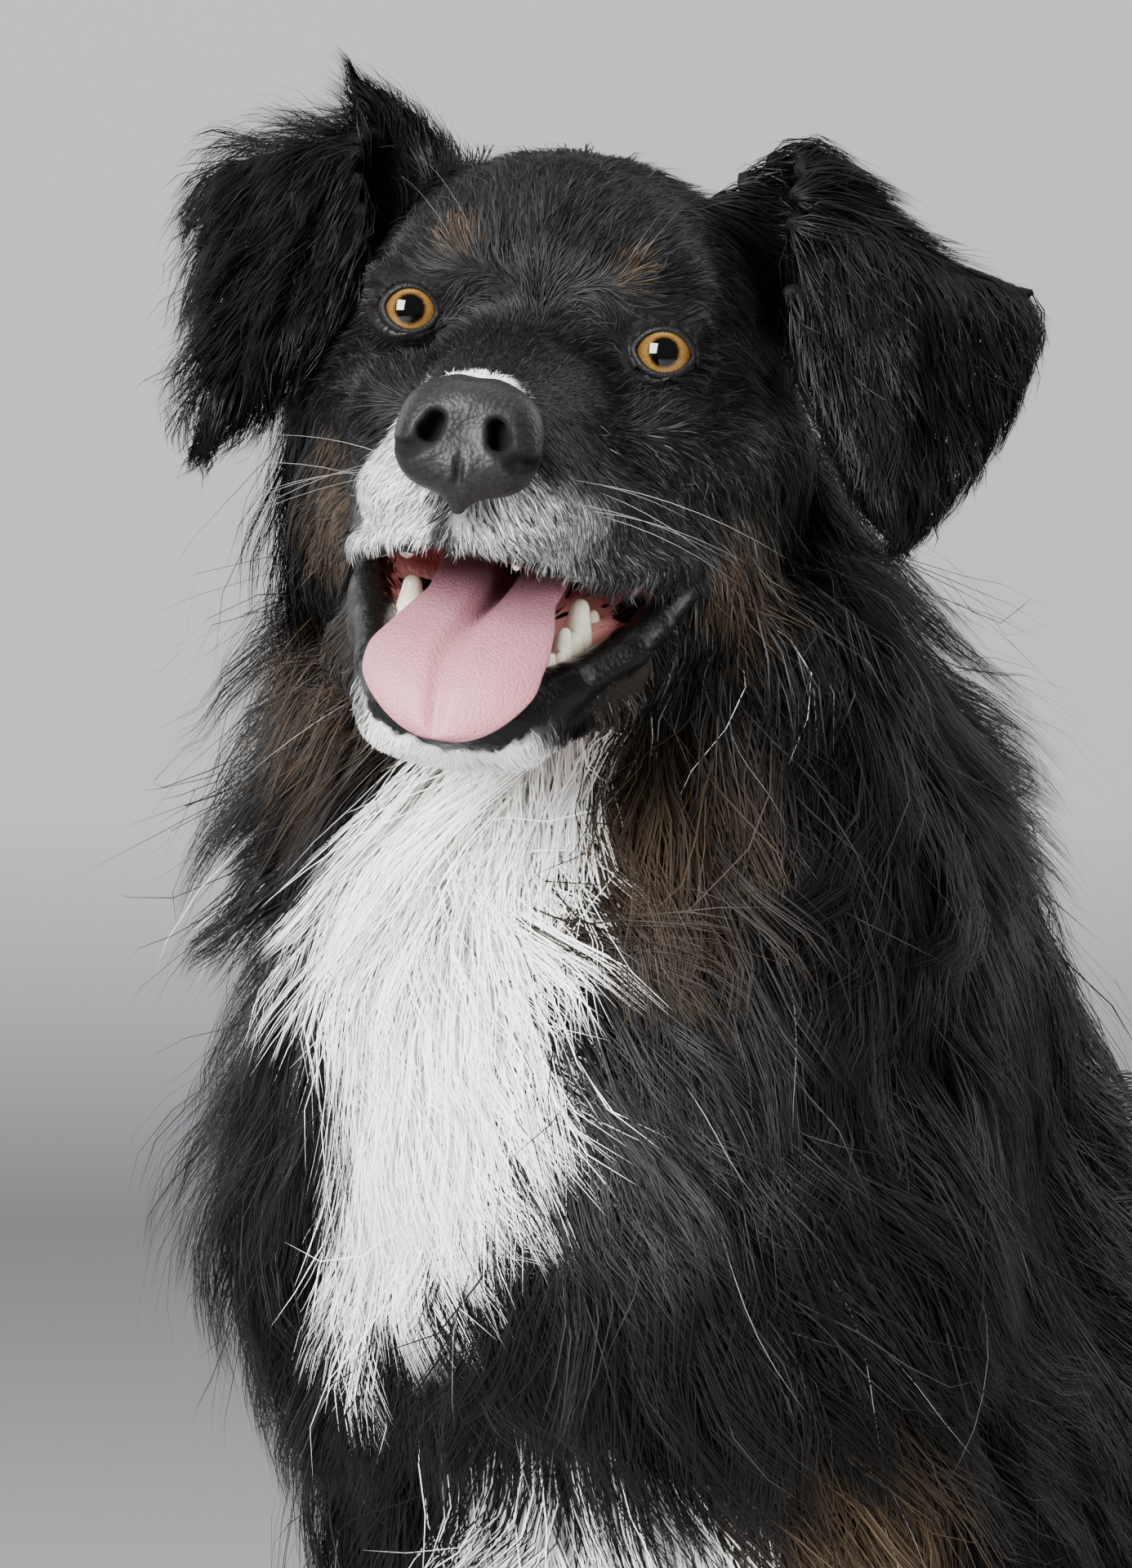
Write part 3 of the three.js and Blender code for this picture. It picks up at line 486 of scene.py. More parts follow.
EYE_AHEAD = unit(GAZE)
EYE_ASIDE = unit(np.cross(EYE_AHEAD, [0, 0, 1]))
EYE_UP = np.cross(EYE_ASIDE, EYE_AHEAD)
# The almond between the lids, by side: half its width, and its heights above and below the middle
OPENING = {1: (8.7, 6.7, 6.6), -1: (7.9, 6.7, 6.5)}


def arc_of(wide, high):
    """Radius and centre shift of the arc that spans a width and rises to a height."""
    radius = (wide * wide + high * high) / (2 * high)
    return radius, radius - high


def opening_between_lids(s):
    """The almond-shaped opening that an eye looks out of, straight ahead of the eyeball."""
    wide, above, below = OPENING[s]
    (r_up, shift_up), (r_low, shift_low) = arc_of(wide, above), arc_of(wide, below)

    def form(p):
        offset = p - eye_centre(s)
        u, v, depth = offset @ EYE_ASIDE, offset @ EYE_UP, offset @ EYE_AHEAD
        lens = np.maximum(np.hypot(u, v + shift_up) - r_up, np.hypot(u, v - shift_low) - r_low)
        return np.maximum(lens, 4 - depth)

    return form


def head_form():
    skull = blend(10, skull_form(), muzzle_form())
    hollow = limb([0, -30, -66], [0, -122, -60], 30, 13)
    lids = both_sides(lambda s: ball(eye_centre(s), [EYE_R + 1.5] * 3))
    folds = both_sides(
        lambda s: limb(eye_centre(s) + [s * -9, -7, 8], eye_centre(s) + [s * 9, -5, 8], 3.2, 3.4)
    )
    upper = blend(5, carve(6, skull, hollow), *both_sides(upper_lip))
    upper = blend(6, upper, *folds)
    upper = blend(3, upper, *lids)
    whole = blend(6, upper, jaw_form())
    for s in SIDES:
        whole = carve(1.0, whole, opening_between_lids(s))
    seat = ball([0, -157, -33], [17, 9, 15])
    return within([-75, -160, -125], [75, 85, 80], carve(4, whole, seat), 40)


HEAD = head_form()
PARTS = {
    "neck": within([-110, -340, 380], [90, -170, 660], neck_form()),
    "torso": torso_form(),
    "foreleg": blend(1, *both_sides(foreleg_form)),
    "forepaw": blend(1, *both_sides(forepaw_form)),
    "thigh": blend(1, *both_sides(thigh_form)),
    "hindfoot": blend(1, *both_sides(hindfoot_form)),
    "tail": tail_form(),
    "head": lambda p: HEAD(to_head(p)),
    "ear": lambda p: np.minimum(*(EARS[s](to_head(p)) for s in SIDES)),
}
# how softly each part joins the rest
JOINS = dict(neck=30, foreleg=16, forepaw=9, thigh=24, hindfoot=12, tail=16, head=14, ear=8)


def flesh(p):
    d = PARTS["torso"](p)
    for name, soft in JOINS.items():
        d = smallest(d, PARTS[name](p), soft)
    return np.maximum(d, 0.4 - p[:, 2])  # flat where it rests on the floor


# ---------------------------------------------------------------- meshes from forms

CORNERS = np.array([[i, j, k] for i in (0, 1) for j in (0, 1) for k in (0, 1)])
COARSE = 4  # cells in a row that a form is first tried over as one


def grown_grid(values, factor):
    """A grid's values spread evenly over one that is `factor` times finer."""
    for axis in range(3):
        n = values.shape[axis]
        at = np.arange((n - 1) * factor + 1) / factor
        low = np.minimum(at.astype(int), n - 2)
        share = (at - low).reshape([-1 if a == axis else 1 for a in range(3)])
        values = np.take(values, low, axis) * (1 - share) + np.take(values, low + 1, axis) * share
    return values


def surface_of(form, low, high, step):
    """The closed skin of a form: a point in each cell that it crosses, joined by quads."""
    low, high = np.array(low, float), np.array(high, float)
    counts = np.ceil((high - low) / (step * COARSE)).astype(int) + 1
    axes = [low[a] + step * COARSE * np.arange(counts[a]) for a in range(3)]
    rough = form(np.stack(np.meshgrid(*axes, indexing="ij"), -1).reshape(-1, 3)).reshape(counts)
    v = grown_grid(rough, COARSE)
    near = np.argwhere(np.abs(v) < step * COARSE * 1.15)
    v[tuple(near.T)] = form(low + near * step)
    inside = v < 0
    shape = tuple(n - 1 for n in v.shape)
    count = sum(
        inside[i : i + shape[0], j : j + shape[1], k : k + shape[2]].astype(np.int8) for i, j, k in CORNERS
    )
    cells = np.argwhere((count > 0) & (count < 8))
    place = np.zeros((len(cells), 3))
    crossings = np.zeros(len(cells))
    for a in range(8):
        for b in range(a + 1, 8):
            if np.abs(CORNERS[a] - CORNERS[b]).sum() != 1:
                continue
            va, vb = v[tuple((cells + CORNERS[a]).T)], v[tuple((cells + CORNERS[b]).T)]
            cross = (va < 0) != (vb < 0)
            t = np.where(cross, va / np.where(cross, va - vb, 1), 0)[:, None]
            place += np.where(cross[:, None], CORNERS[a] + t * (CORNERS[b] - CORNERS[a]), 0)
            crossings += cross
    points = low + (cells + place / crossings[:, None]) * step
    number = np.full(shape, -1)
    number[tuple(cells.T)] = np.arange(len(cells))
    quads = []
    for axis in range(3):
        u, w = (axis + 1) % 3, (axis + 2) % 3
        ahead = np.take(inside, range(1, v.shape[axis]), axis)
        here = np.take(inside, range(v.shape[axis] - 1), axis)
        edges = np.argwhere(ahead != here)
        edges = edges[(edges[:, u] > 0) & (edges[:, w] > 0)]
        edges = edges[(edges[:, u] < shape[u]) & (edges[:, w] < shape[w])]
        ring = []
        for du, dw in ((-1, -1), (0, -1), (0, 0), (-1, 0)):
            cell = edges.copy()
            cell[:, u] += du
            cell[:, w] += dw
            ring.append(number[tuple(cell.T)])
        ring = np.stack(ring, 1)
        out = here[tuple(edges.T)]
        quads.append(np.where(out[:, None], ring, ring[:, ::-1]))
    return points, np.concatenate(quads)


def settle(form, points, rounds=2):
    """Points moved onto the form's surface."""
    for _ in range(rounds):
        out, d = slope(form, points)
        points = points - np.clip(d, -2, 2)[:, None] * out
    return points


def mesh_of(name, points, faces):
    """A smooth mesh piece from points in millimetres."""
    mesh = bpy.data.meshes.new(name)
    mesh.from_pydata((np.asarray(points) * MM).tolist(), [], [list(map(int, f)) for f in faces])
    mesh.shade_smooth()
    return placed(name, mesh)


def ring_faces(rings, around, start=0, closed=False):
    """Quads between rings of points, and from the last ring to the first where they are closed."""
    quads = []
    for i in range(rings if closed else rings - 1):
        a, b = start + i * around, start + (i + 1) % rings * around
        quads += [(a + j, a + (j + 1) % around, b + (j + 1) % around, b + j) for j in range(around)]
    return quads


def tube_faces(rings, around, start=0):
    """Quads between rings of points, with a face over each end."""
    last = start + (rings - 1) * around
    ends = [tuple(range(start, start + around))[::-1], tuple(range(last, last + around))]
    return ring_faces(rings, around, start) + ends


NOTED_AS = {"FLOAT": "value", "FLOAT_VECTOR": "vector", "FLOAT_COLOR": "color"}


def note(mesh, name, values, kind="FLOAT"):
    """A value kept at each point of a mesh."""
    layer = mesh.attributes.new(name, kind, "POINT")
    layer.data.foreach_set(NOTED_AS[kind], np.asarray(values, np.float32).ravel())


def finished(piece, slot, material, stands_for=()):
    """A piece that rides on the one body, takes a material, and may stand for frame nodes; its slot is not
    used.
    """
    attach(piece, "root")
    if stands_for:
        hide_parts(*stands_for)
    piece.data.materials.append(material)


# ---------------------------------------------------------------- the skin


def near_face(p):
    q = to_head(p)
    return ((q[:, 1] < 60) & (q[:, 2] > -130) & (PARTS["head"](p) < 6)) | (PARTS["ear"](p) < 4)


def near_eyes_and_lips(p):
    q = to_head(p)
    near = [upper_lip(s)(q) < 4 for s in SIDES] + [lower_lip(s)(q) < 4 for s in SIDES]
    near += [(length_of(q - eye_centre(s)) < 18) & (q[:, 1] < -48) for s in SIDES]
    return np.any(near, 0)


SKIN_ROOM = [-180, -500, -8], [300, 200, 740]  # a box round the whole skin
SKIN_STEP = 4.0


def skin_piece():
    """The whole skin as one closed mesh, finer on the head and ears, and finest at the eyes and lips."""
    points, quads = surface_of(flesh, *SKIN_ROOM, SKIN_STEP)
    points = settle(flesh, points, 1)
    build = bmesh.new()
    verts = [build.verts.new(p) for p in points]
    for quad in quads.tolist():
        build.faces.new([verts[i] for i in quad])
    for is_fine in (near_face, near_eyes_and_lips):
        fine = is_fine(np.array([v.co for v in build.verts]))
        build.verts.index_update()
        edges = [e for e in build.edges if fine[e.verts[0].index] and fine[e.verts[1].index]]
        bmesh.ops.subdivide_edges(build, edges=edges, cuts=1, use_grid_fill=True)
    mesh = bpy.data.meshes.new("skin")
    build.to_mesh(mesh)
    build.free()
    place = np.empty(len(mesh.vertices) * 3)
    mesh.vertices.foreach_get("co", place)
    place = settle(flesh, place.reshape(-1, 3))
    mesh.vertices.foreach_set("co", (place * MM).ravel())
    mesh.update()
    mesh.shade_smooth()
    return placed("skin", mesh), place


SKIN, SKIN_POINTS = skin_piece()

# ---------------------------------------------------------------- markings
# Each gives how much of a colour the coat has at a place, from 0 to 1.


def soft_step(values, start, end):
    t = np.clip((values - start) / (end - start), 0, 1)
    return t * t * (3 - 2 * t)


def spot(p, at, radius, edge=0.5):
    """A round spot that fades out over its edge."""
    return 1 - soft_step(length_of(p - np.array(at, float)), radius * (1 - edge), radius * (1 + edge))


BLAZE_Z = [368, 386, 402, 417, 432, 455, 480, 505, 540, 590]
BLAZE_X = [-34, -30, -12, -3, 4, 7, -12, -3, 0, 0]
BLAZE_HALF = [2, 12, 25, 28, 32, 36, 54, 46, 33, 34]


def white_of_face(q):
    """White on the head: round the nose, on the muzzle, a little on the cheeks, the chin and the throat."""
    x, ahead, down = q[:, 0], -q[:, 1], -q[:, 2]
    rim = 1 - soft_step(ball([0, -150, -31], [19.5, 12, 17])(q), 5, 9)
    rim *= soft_step(-down, -36, -28) * (1 - soft_step(x, 6, 15))
    top_edge = np.interp(-x, [0, 14, 22, 40], [30, 22, 12, 20])
    # the white on the muzzle's sides stays partial: grey hairs, and partly painted shade among the strands
    right = 0.665 * soft_step(ahead, 76, 112) * soft_step(-x, 2, 12)
    right *= soft_step(down, top_edge - 7, top_edge + 7)
    left = 0.43 * soft_step(ahead, 78, 122) * soft_step(x, -8, 2) * soft_step(down, 33, 46)
    muzzle_side = 0.16 * soft_step(ahead, 30, 70) * soft_step(down, 30, 50) * (down < 80)
    # cheek: grey hairs, as many as they are partly to paint the black coat's sheen
    cheek = 0.08 * soft_step(x, 15, 35) * soft_step(down, -2, 24) * (down < 100)
    chin = soft_step(down, 101, 110) * (1 - soft_step(np.abs(x), 20, 34)) * soft_step(ahead, 20, 60)
    throat = soft_step(down, 74, 90) * (1 - soft_step(np.abs(x), 22, 36)) * soft_step(-ahead, -75, -45)
    return np.maximum.reduce([rim, right, left, muzzle_side, cheek, chin, throat])


def white_share(p, part):
    """The blaze from throat to chest, the face's white, the feet and lower legs, and the tail's tip."""
    x, ahead, z = p[:, 0], -p[:, 1], p[:, 2]
    side = np.abs(x - np.interp(z, BLAZE_Z, BLAZE_X))
    half = np.interp(z, BLAZE_Z, BLAZE_HALF)
    front = soft_step(ahead, 262, 292)
    blaze = (1 - soft_step(side, half - 9, half + 9)) * front * (part != "head") * (part != "ear")
    blaze *= (z > 364) & (z < 640)
    flick = spot(p, [-98, -335, 505], 16) * 0.2
    bib = front * (1 - soft_step(z, 300, 326)) * (1 - soft_step(np.abs(x - 22), 46, 66)) * (part == "torso")
    face = white_of_face(to_head(p)) * (part == "head")
    inner = soft_step(ahead, 280, 296) * (1 - soft_step(z, 320, 370))
    legs = (part == "foreleg") * np.maximum(1 - soft_step(z, 120, 190), inner)
    feet = ((part == "forepaw") | (part == "hindfoot")) * 1.0
    tip = (part == "tail") * soft_step(x, 205, 250)
    return np.clip(np.maximum.reduce([blaze, bib, flick, face, legs, feet, tip]), 0, 1)


def tan_share(p, part):
    """Spots over the eyes, the cheeks, the sides of the neck, the legs and the back of the thighs."""
    q = to_head(p)
    z = p[:, 2]
    uneven = 0.7 + 0.3 * np.sin(q[:, 1] * 0.35 + 1) * np.sin(q[:, 2] * 0.25)
    shares = [
        spot(q, [25, -54, 28], 7) * 0.12,
        spot(q, [-25, -54, 31], 7) * 0.12,
        spot(q, [62, -8, -50], 14, 0.9) * 0.5 * uneven,
        spot(q, [-58, -22, -48], 20) * 0.2,
        spot(q, [44, -52, -92], 20) * 0.10,
        spot(q, [-40, -60, -92], 20) * 0.10,
        spot(p, [48, -338, 515], 34) * 0.30,
        spot(p, [-66, -330, 548], 30) * 0.22,
        spot(p, [98, -296, 312], 32) * 0.5,
        (part == "foreleg") * soft_step(z, 90, 180) * 0.95,
        ((part == "hindfoot") | (part == "thigh")) * (1 - soft_step(z, 60, 110)) * 0.8,
        (part == "thigh") * soft_step(p[:, 1], 5, 40) * 0.6,
    ]
    return np.clip(np.maximum.reduce(shares), 0, 1)


PART_NAMES = np.array(list(PARTS))


def part_distances(p):
    return np.stack([PARTS[name](p) for name in PART_NAMES], 1)


# ---------------------------------------------------------------- the lie of the coat


def lie_of(p, distances):
    """The way the hair runs at each place, mixed from that of the parts close by."""
    q = to_head(p)
    sign = np.tanh(p[:, 0] / 22)
    hsign = np.tanh(q[:, 0] / 8)
    back = np.clip((p[:, 1] + 330) / 200, 0, 1)
    one = np.ones(len(p))

    def rows(x, y, z):
        return unit(np.stack([x * one, y * one, z * one], 1))

    front = soft_step(-q[:, 1], 66, 108)
    low = soft_step(-q[:, 2], 8, 34)
    rear = soft_step(q[:, 1], -40, 20)
    head = rows(0.12 * hsign, 1, 0.10) * ((1 - low) * (1 - rear))[:, None]
    head += rows(0.25 * hsign, 0.9, -0.55) * (low * (1 - front) * (1 - rear))[:, None]
    head += rows(0.55 * hsign, 0.55, -0.75) * (low * front)[:, None]
    head += rows(0.2 * hsign, 0.6, -1) * rear[:, None]
    fold = soft_step(q[:, 2], 48, 66)
    ear = rows(0.3 * hsign, 0.15, -1) * (1 - fold)[:, None]
    ear += rows(0.9 * hsign, 0.35, 0.35) * fold[:, None]
    near = np.argmin([length_of(p - at) for at in TAIL_LINE], 0)
    ways = {
        "torso": rows(0.30 * sign * (1 - back), 0.7 * back, -1),
        "neck": rows(0.32 * sign * (1 - back), 0.6 * back, -1),
        "foreleg": rows(0, 0.15, -1),
        "forepaw": rows(0, -0.8, -0.6),
        "thigh": rows(0.1 * sign, 0.75, -1),
        "hindfoot": rows(0, -1, -0.2),
        "tail": TAIL_ALONG[near] + [0, 0, -0.1],
        "head": unit(head) @ HEAD_TURN.T,
        "ear": unit(ear) @ HEAD_TURN.T,
    }
    weights = np.exp(-np.maximum(distances, 0) / 12)
    return unit(sum(ways[name] * weights[:, i : i + 1] for i, name in enumerate(PART_NAMES)))


class Grid:
    """Values kept on an even grid, read between its points."""

    def __init__(self, low, high, step):
        self.low, self.step = np.array(low, float), step
        self.counts = np.ceil((np.array(high) - low) / step).astype(int) + 1
        axes = [self.low[a] + step * np.arange(self.counts[a]) for a in range(3)]
        self.nodes = np.stack(np.meshgrid(*axes, indexing="ij"), -1).reshape(-1, 3)
        self.values = None

    def read(self, p):
        at = np.clip((p - self.low) / self.step, 0, self.counts - 1.001)
        cell = at.astype(int)
        share = at - cell
        out = 0
        for corner in CORNERS:
            weight = np.prod(np.where(corner, share, 1 - share), 1)
            out = out + self.values[tuple((cell + corner).T)] * weight[:, None]
        return out


COAT_REACH = 75  # how far from the skin any hair may get


def coat_grid(low, high, step):
    """Distance to the skin, the way out of it, and the lie, over a box of room."""
    grid = Grid(low, high, step)
    d = flesh(grid.nodes)
    near = np.abs(d) < COAT_REACH
    lie = np.tile([0.0, 0.0, -1.0], (len(d), 1))
    lie[near] = lie_of(grid.nodes[near], part_distances(grid.nodes[near]))
    shape = tuple(grid.counts)
    out = np.stack(np.gradient(d.reshape(shape), grid.step), -1)
    grid.values = np.concatenate([d.reshape(*shape, 1), out, lie.reshape(*shape, 3)], -1)
    return grid


ROOM = coat_grid([-200, -510, -16], [312, 232, 760], 8.0)
HEAD_ROOM = coat_grid([-140, -480, 520], [134, -246, 736], 3.2)


def room_at(p):
    """Distance, way out and lie at each place, from the finer grid near the head."""
    found = ROOM.read(p)
    near = np.all((p > HEAD_ROOM.low + 1) & (p < HEAD_ROOM.nodes[-1] - 1), 1)
    if near.any():
        found[near] = HEAD_ROOM.read(p[near])
    return found


# ---------------------------------------------------------------- the coat's roots


def unwrapped(piece):
    """Unfolds the piece's own shape on a map and gives the map's corner places."""
    bpy.context.view_layer.objects.active = piece
    piece.select_set(True)
    bpy.ops.object.mode_set(mode="EDIT")
    bpy.ops.mesh.select_all(action="SELECT")
    bpy.ops.uv.smart_project(angle_limit=math.radians(66), island_margin=0.001)
    bpy.ops.object.mode_set(mode="OBJECT")
    piece.select_set(False)
    layer = piece.data.uv_layers.active
    layer.name = "OFBake"
    places = np.empty(len(piece.data.loops) * 2, np.float32)
    layer.uv.foreach_get("vector", places)
    return places.reshape(-1, 2)


def triangles_of(piece, places):
    """The piece's triangles: their corner points, their places on its map and their areas."""
    mesh = piece.data
    mesh.calc_loop_triangles()
    count = len(mesh.loop_triangles)
    corners, loops = np.empty(count * 3, int), np.empty(count * 3, int)
    mesh.loop_triangles.foreach_get("vertices", corners)
    mesh.loop_triangles.foreach_get("loops", loops)
    points = SKIN_POINTS[corners.reshape(-1, 3)]
    area = length_of(np.cross(points[:, 1] - points[:, 0], points[:, 2] - points[:, 0])) / 2
    return corners.reshape(-1, 3), points, places[loops.reshape(-1, 3)], area


CORNER_POINTS, TRIANGLES, TRIANGLE_MAP, AREAS = triangles_of(SKIN, unwrapped(SKIN))
SKIN_PART = PART_NAMES[np.argmin(part_distances(SKIN_POINTS), 1)]
TRIANGLE_PART = SKIN_PART[CORNER_POINTS[:, 0]]
TRIANGLE_AT = TRIANGLES.mean(1)
TRIANGLE_HEAD_AT = to_head(TRIANGLE_AT)
INSIDE_MOUTH = blend(
    6,
    limb([0, -10, -66], [0, -120, -62], 34, 13),
    limb(open_jaw([0, 0, -44]), open_jaw([0, -104, -48]), 26, 15),
    limb([0, -10, -72], [0, -112, -76], 34, 16),
)
MOUTH_LINE = np.array([[0, -10, -64], [0, -112, -74]], float)


def faces_mouth(q, out):
    """Where the skin lines the mouth: close to it and turned towards its middle line."""
    start, line = MOUTH_LINE[0], MOUTH_LINE[1] - MOUTH_LINE[0]
    h = np.clip((q - start) @ line / (line @ line), 0, 1)
    inward = np.einsum("ij,ij->i", out, q - start - h[:, None] * line) < 0
    return (INSIDE_MOUTH(q) < 2) | (inward & (INSIDE_MOUTH(q) < 14) & (q[:, 2] > -108))


def out_of_head(p):
    """The way out of the skin at places near the head, in the head's frame."""
    return unit(HEAD_ROOM.read(p)[:, 1:4]) @ HEAD_TURN


def upper_lip_line(q):
    """The height up to which the upper lip is bare, at each place along the muzzle."""
    return np.interp(q[:, 1], [-141, -84, -38], [-58.5, -59.5, -50])


def on_nose_seat(q, reach):
    """True within a reach of the seat of the nose pad."""
    return ball(NOSE_SEAT, [18.5, 12, 17.5])(q) < reach


def lip_edge(q):
    """How far beyond the lower lip's roll the bare skin reaches: an uneven edge."""
    ragged = np.sin(q[:, 0] * 0.9 + q[:, 1] * 0.7) * 0.5 + np.sin(q[:, 1] * 2.1 + q[:, 2]) * 0.5
    return 2.2 + ragged + 2.0 * soft_step(-q[:, 1], 92, 108)


def bareness(p):
    """True where no hair grows: the soles, the eyes' rims, the nose's seat, the lips and the mouth."""
    q = to_head(p)
    bare = p[:, 2] < 1.5
    for s in SIDES:
        bare |= opening_between_lids(s)(q) < 0.7
        bare |= (upper_lip(s)(q) < 1.0) & (q[:, 2] < upper_lip_line(q))
        bare |= lower_lip(s)(q) < lip_edge(q)
    bare |= on_nose_seat(q, 1)
    head = np.abs(PARTS["head"](p)) < 3
    bare[head] |= faces_mouth(q[head], out_of_head(p[head]))
    return bare


BARE = bareness(TRIANGLE_AT)


def head_coat(p):
    """Length and rise of the head's hair: short on the muzzle, longer back over the skull and cheeks."""
    q = to_head(p)
    length = np.interp(q[:, 1], [-150, -110, -60, -20, 20, 60], [6, 8, 11, 15, 22, 32])
    rise = np.interp(q[:, 1], [-150, -90, -40, 10, 60], [1.0, 1.6, 2.4, 5.0, 9])
    low = soft_step(-q[:, 2], 50, 85) * soft_step(q[:, 1], -100, -40)
    cheek = soft_step(q[:, 1], -22, 34) * (1 - soft_step(q[:, 2], -5, 45))
    crown = soft_step(q[:, 2], 40, 58) * soft_step(q[:, 1], -40, -5)
    fuller = cheek * (1 + 0.8 * soft_step(-q[:, 0], 20, 45) + 0.6 * soft_step(q[:, 0], 30, 50))
    length = length * (1 + 1.6 * low) + 40 * fuller + 5 * crown
    return length, rise * (1 + 1.8 * low) + 18 * fuller + 3 * crown


COAT_SIZES = {
    # length, rise, width of a tuft
    "torso": (80, 27, 1.0),
    "neck": (84, 42, 1.0),
    "foreleg": (25, 8, 1.0),
    "forepaw": (8, 2.0, 0.7),
    "thigh": (58, 18, 1.15),
    "hindfoot": (9, 2.4, 0.7),
    "tail": (72, 24, 1.15),
    "head": (14, 3, 0.62),
    "ear": (34, 7, 0.8),
}


def coat_sizes(p):
    """Length, rise and width of the coat at each place, mixed from those of the parts close by."""
    distances = part_distances(p)
    weights = np.exp(-np.maximum(distances, 0) / 9)
    weights /= weights.sum(1)[:, None]
    table = np.array([COAT_SIZES[name] for name in PART_NAMES])
    sizes = np.tile(table, (len(p), 1, 1))
    head = list(PARTS).index("head")
    sizes[:, head, 0], sizes[:, head, 1] = head_coat(p)
    sizes = np.einsum("nk,nkc->nc", weights, sizes)
    part_names = PART_NAMES[np.argmin(distances, 1)]
    ruff = soft_step(-p[:, 0], 28, 70) * soft_step(p[:, 2], 380, 440) * soft_step(-p[:, 1], 180, 260)
    sizes[:, 1] += 12 * ruff
    nape = soft_step(p[:, 2], 430, 510) * (1 - soft_step(p[:, 2], 555, 595))
    sizes[:, 1] -= 13 * soft_step(p[:, 0], 25, 75) * nape
    return sizes, part_names


def scatter(rng, chosen, count):
    """Roots spread over the chosen triangles: their places, and their places on the skin's map."""
    index = np.flatnonzero(chosen)
    share = AREAS[index] / AREAS[index].sum()
    at = index[rng.choice(len(index), count, p=share)]
    u, v = rng.random(count), rng.random(count)
    over = u + v > 1
    u[over], v[over] = 1 - u[over], 1 - v[over]
    weights = np.stack([1 - u - v, u, v], 1)
    places = np.einsum("nk,nkc->nc", weights, TRIANGLES[at])
    return places, np.einsum("nk,nkc->nc", weights, TRIANGLE_MAP[at])


def turned(rows, axis, angle):
    """Rows turned about unit axes they are square to."""
    return rows * np.cos(angle)[:, None] + np.cross(axis, rows) * np.sin(angle)[:, None]


def swirl(p):
    """A slow wander of the lie over the body."""
    x, y, z = p.T
    return 0.30 * np.sin(x / 29 + 1.3) * np.cos(z / 41) + 0.22 * np.sin(y / 25 + z / 57 + 0.6)


PRESSED = 0.85  # the share of a tuft's rise off the skin that is pressed flat
RISE_CURVE = 1.8  # how early along its length a tuft comes up to its height


def grow(roots, length, height, turn, bend, segments, hang, lean):
    """Points along each tuft, which leaves the skin along the lie and keeps near the height of its coat."""
    p = roots.copy()
    aside = lean(roots) if lean else 0.0
    line, outs = [roots], [unit(room_at(roots)[:, 1:4])]
    for i in range(1, segments + 1):
        t = i / segments
        here = room_at(p)
        out = unit(here[:, 1:4])
        along = unit(here[:, 4:7] + aside)
        along = along - PRESSED * np.einsum("ij,ij->i", along, out)[:, None] * out
        along = turned(unit(along), out, turn + bend * t)
        p = p + along * (length / segments)[:, None]
        here = room_at(p)
        out = unit(here[:, 1:4])
        want = height * (1 - (1 - t) ** RISE_CURVE)
        free = np.clip(here[:, 0], want * 0.8, want + hang * t)
        p = p + out * (free - here[:, 0])[:, None]
        p[:, 2] = np.maximum(p[:, 2], 1.0)
        line.append(p)
        outs.append(out)
    return np.stack(line, 1), np.stack(outs, 1)


def nearest(places, to):
    tree = KDTree(len(to))
    for i, at in enumerate(to):
        tree.insert(at, i)
    tree.balance()
    return np.fromiter((tree.find(at)[1] for at in places), int, len(places))


TUFT_PATCH = 0.003  # size of a tuft's place on the skin's map


def gather(rng, line, leads, owner, pull, close):
    """Strands drawn towards the lead strand of their lock by its pull, more so at their tips."""
    t = np.linspace(0, 1, line.shape[1])[None, :, None]
    lead = line[leads][owner]
    gathered = lead + (line[:, :1] - lead[:, :1]) * (1 - close * t)
    share = rng.uniform(0.5, 1, len(line))[:, None, None]
    return line + (gathered - line) * pull[:, None, None] * t**1.2 * share


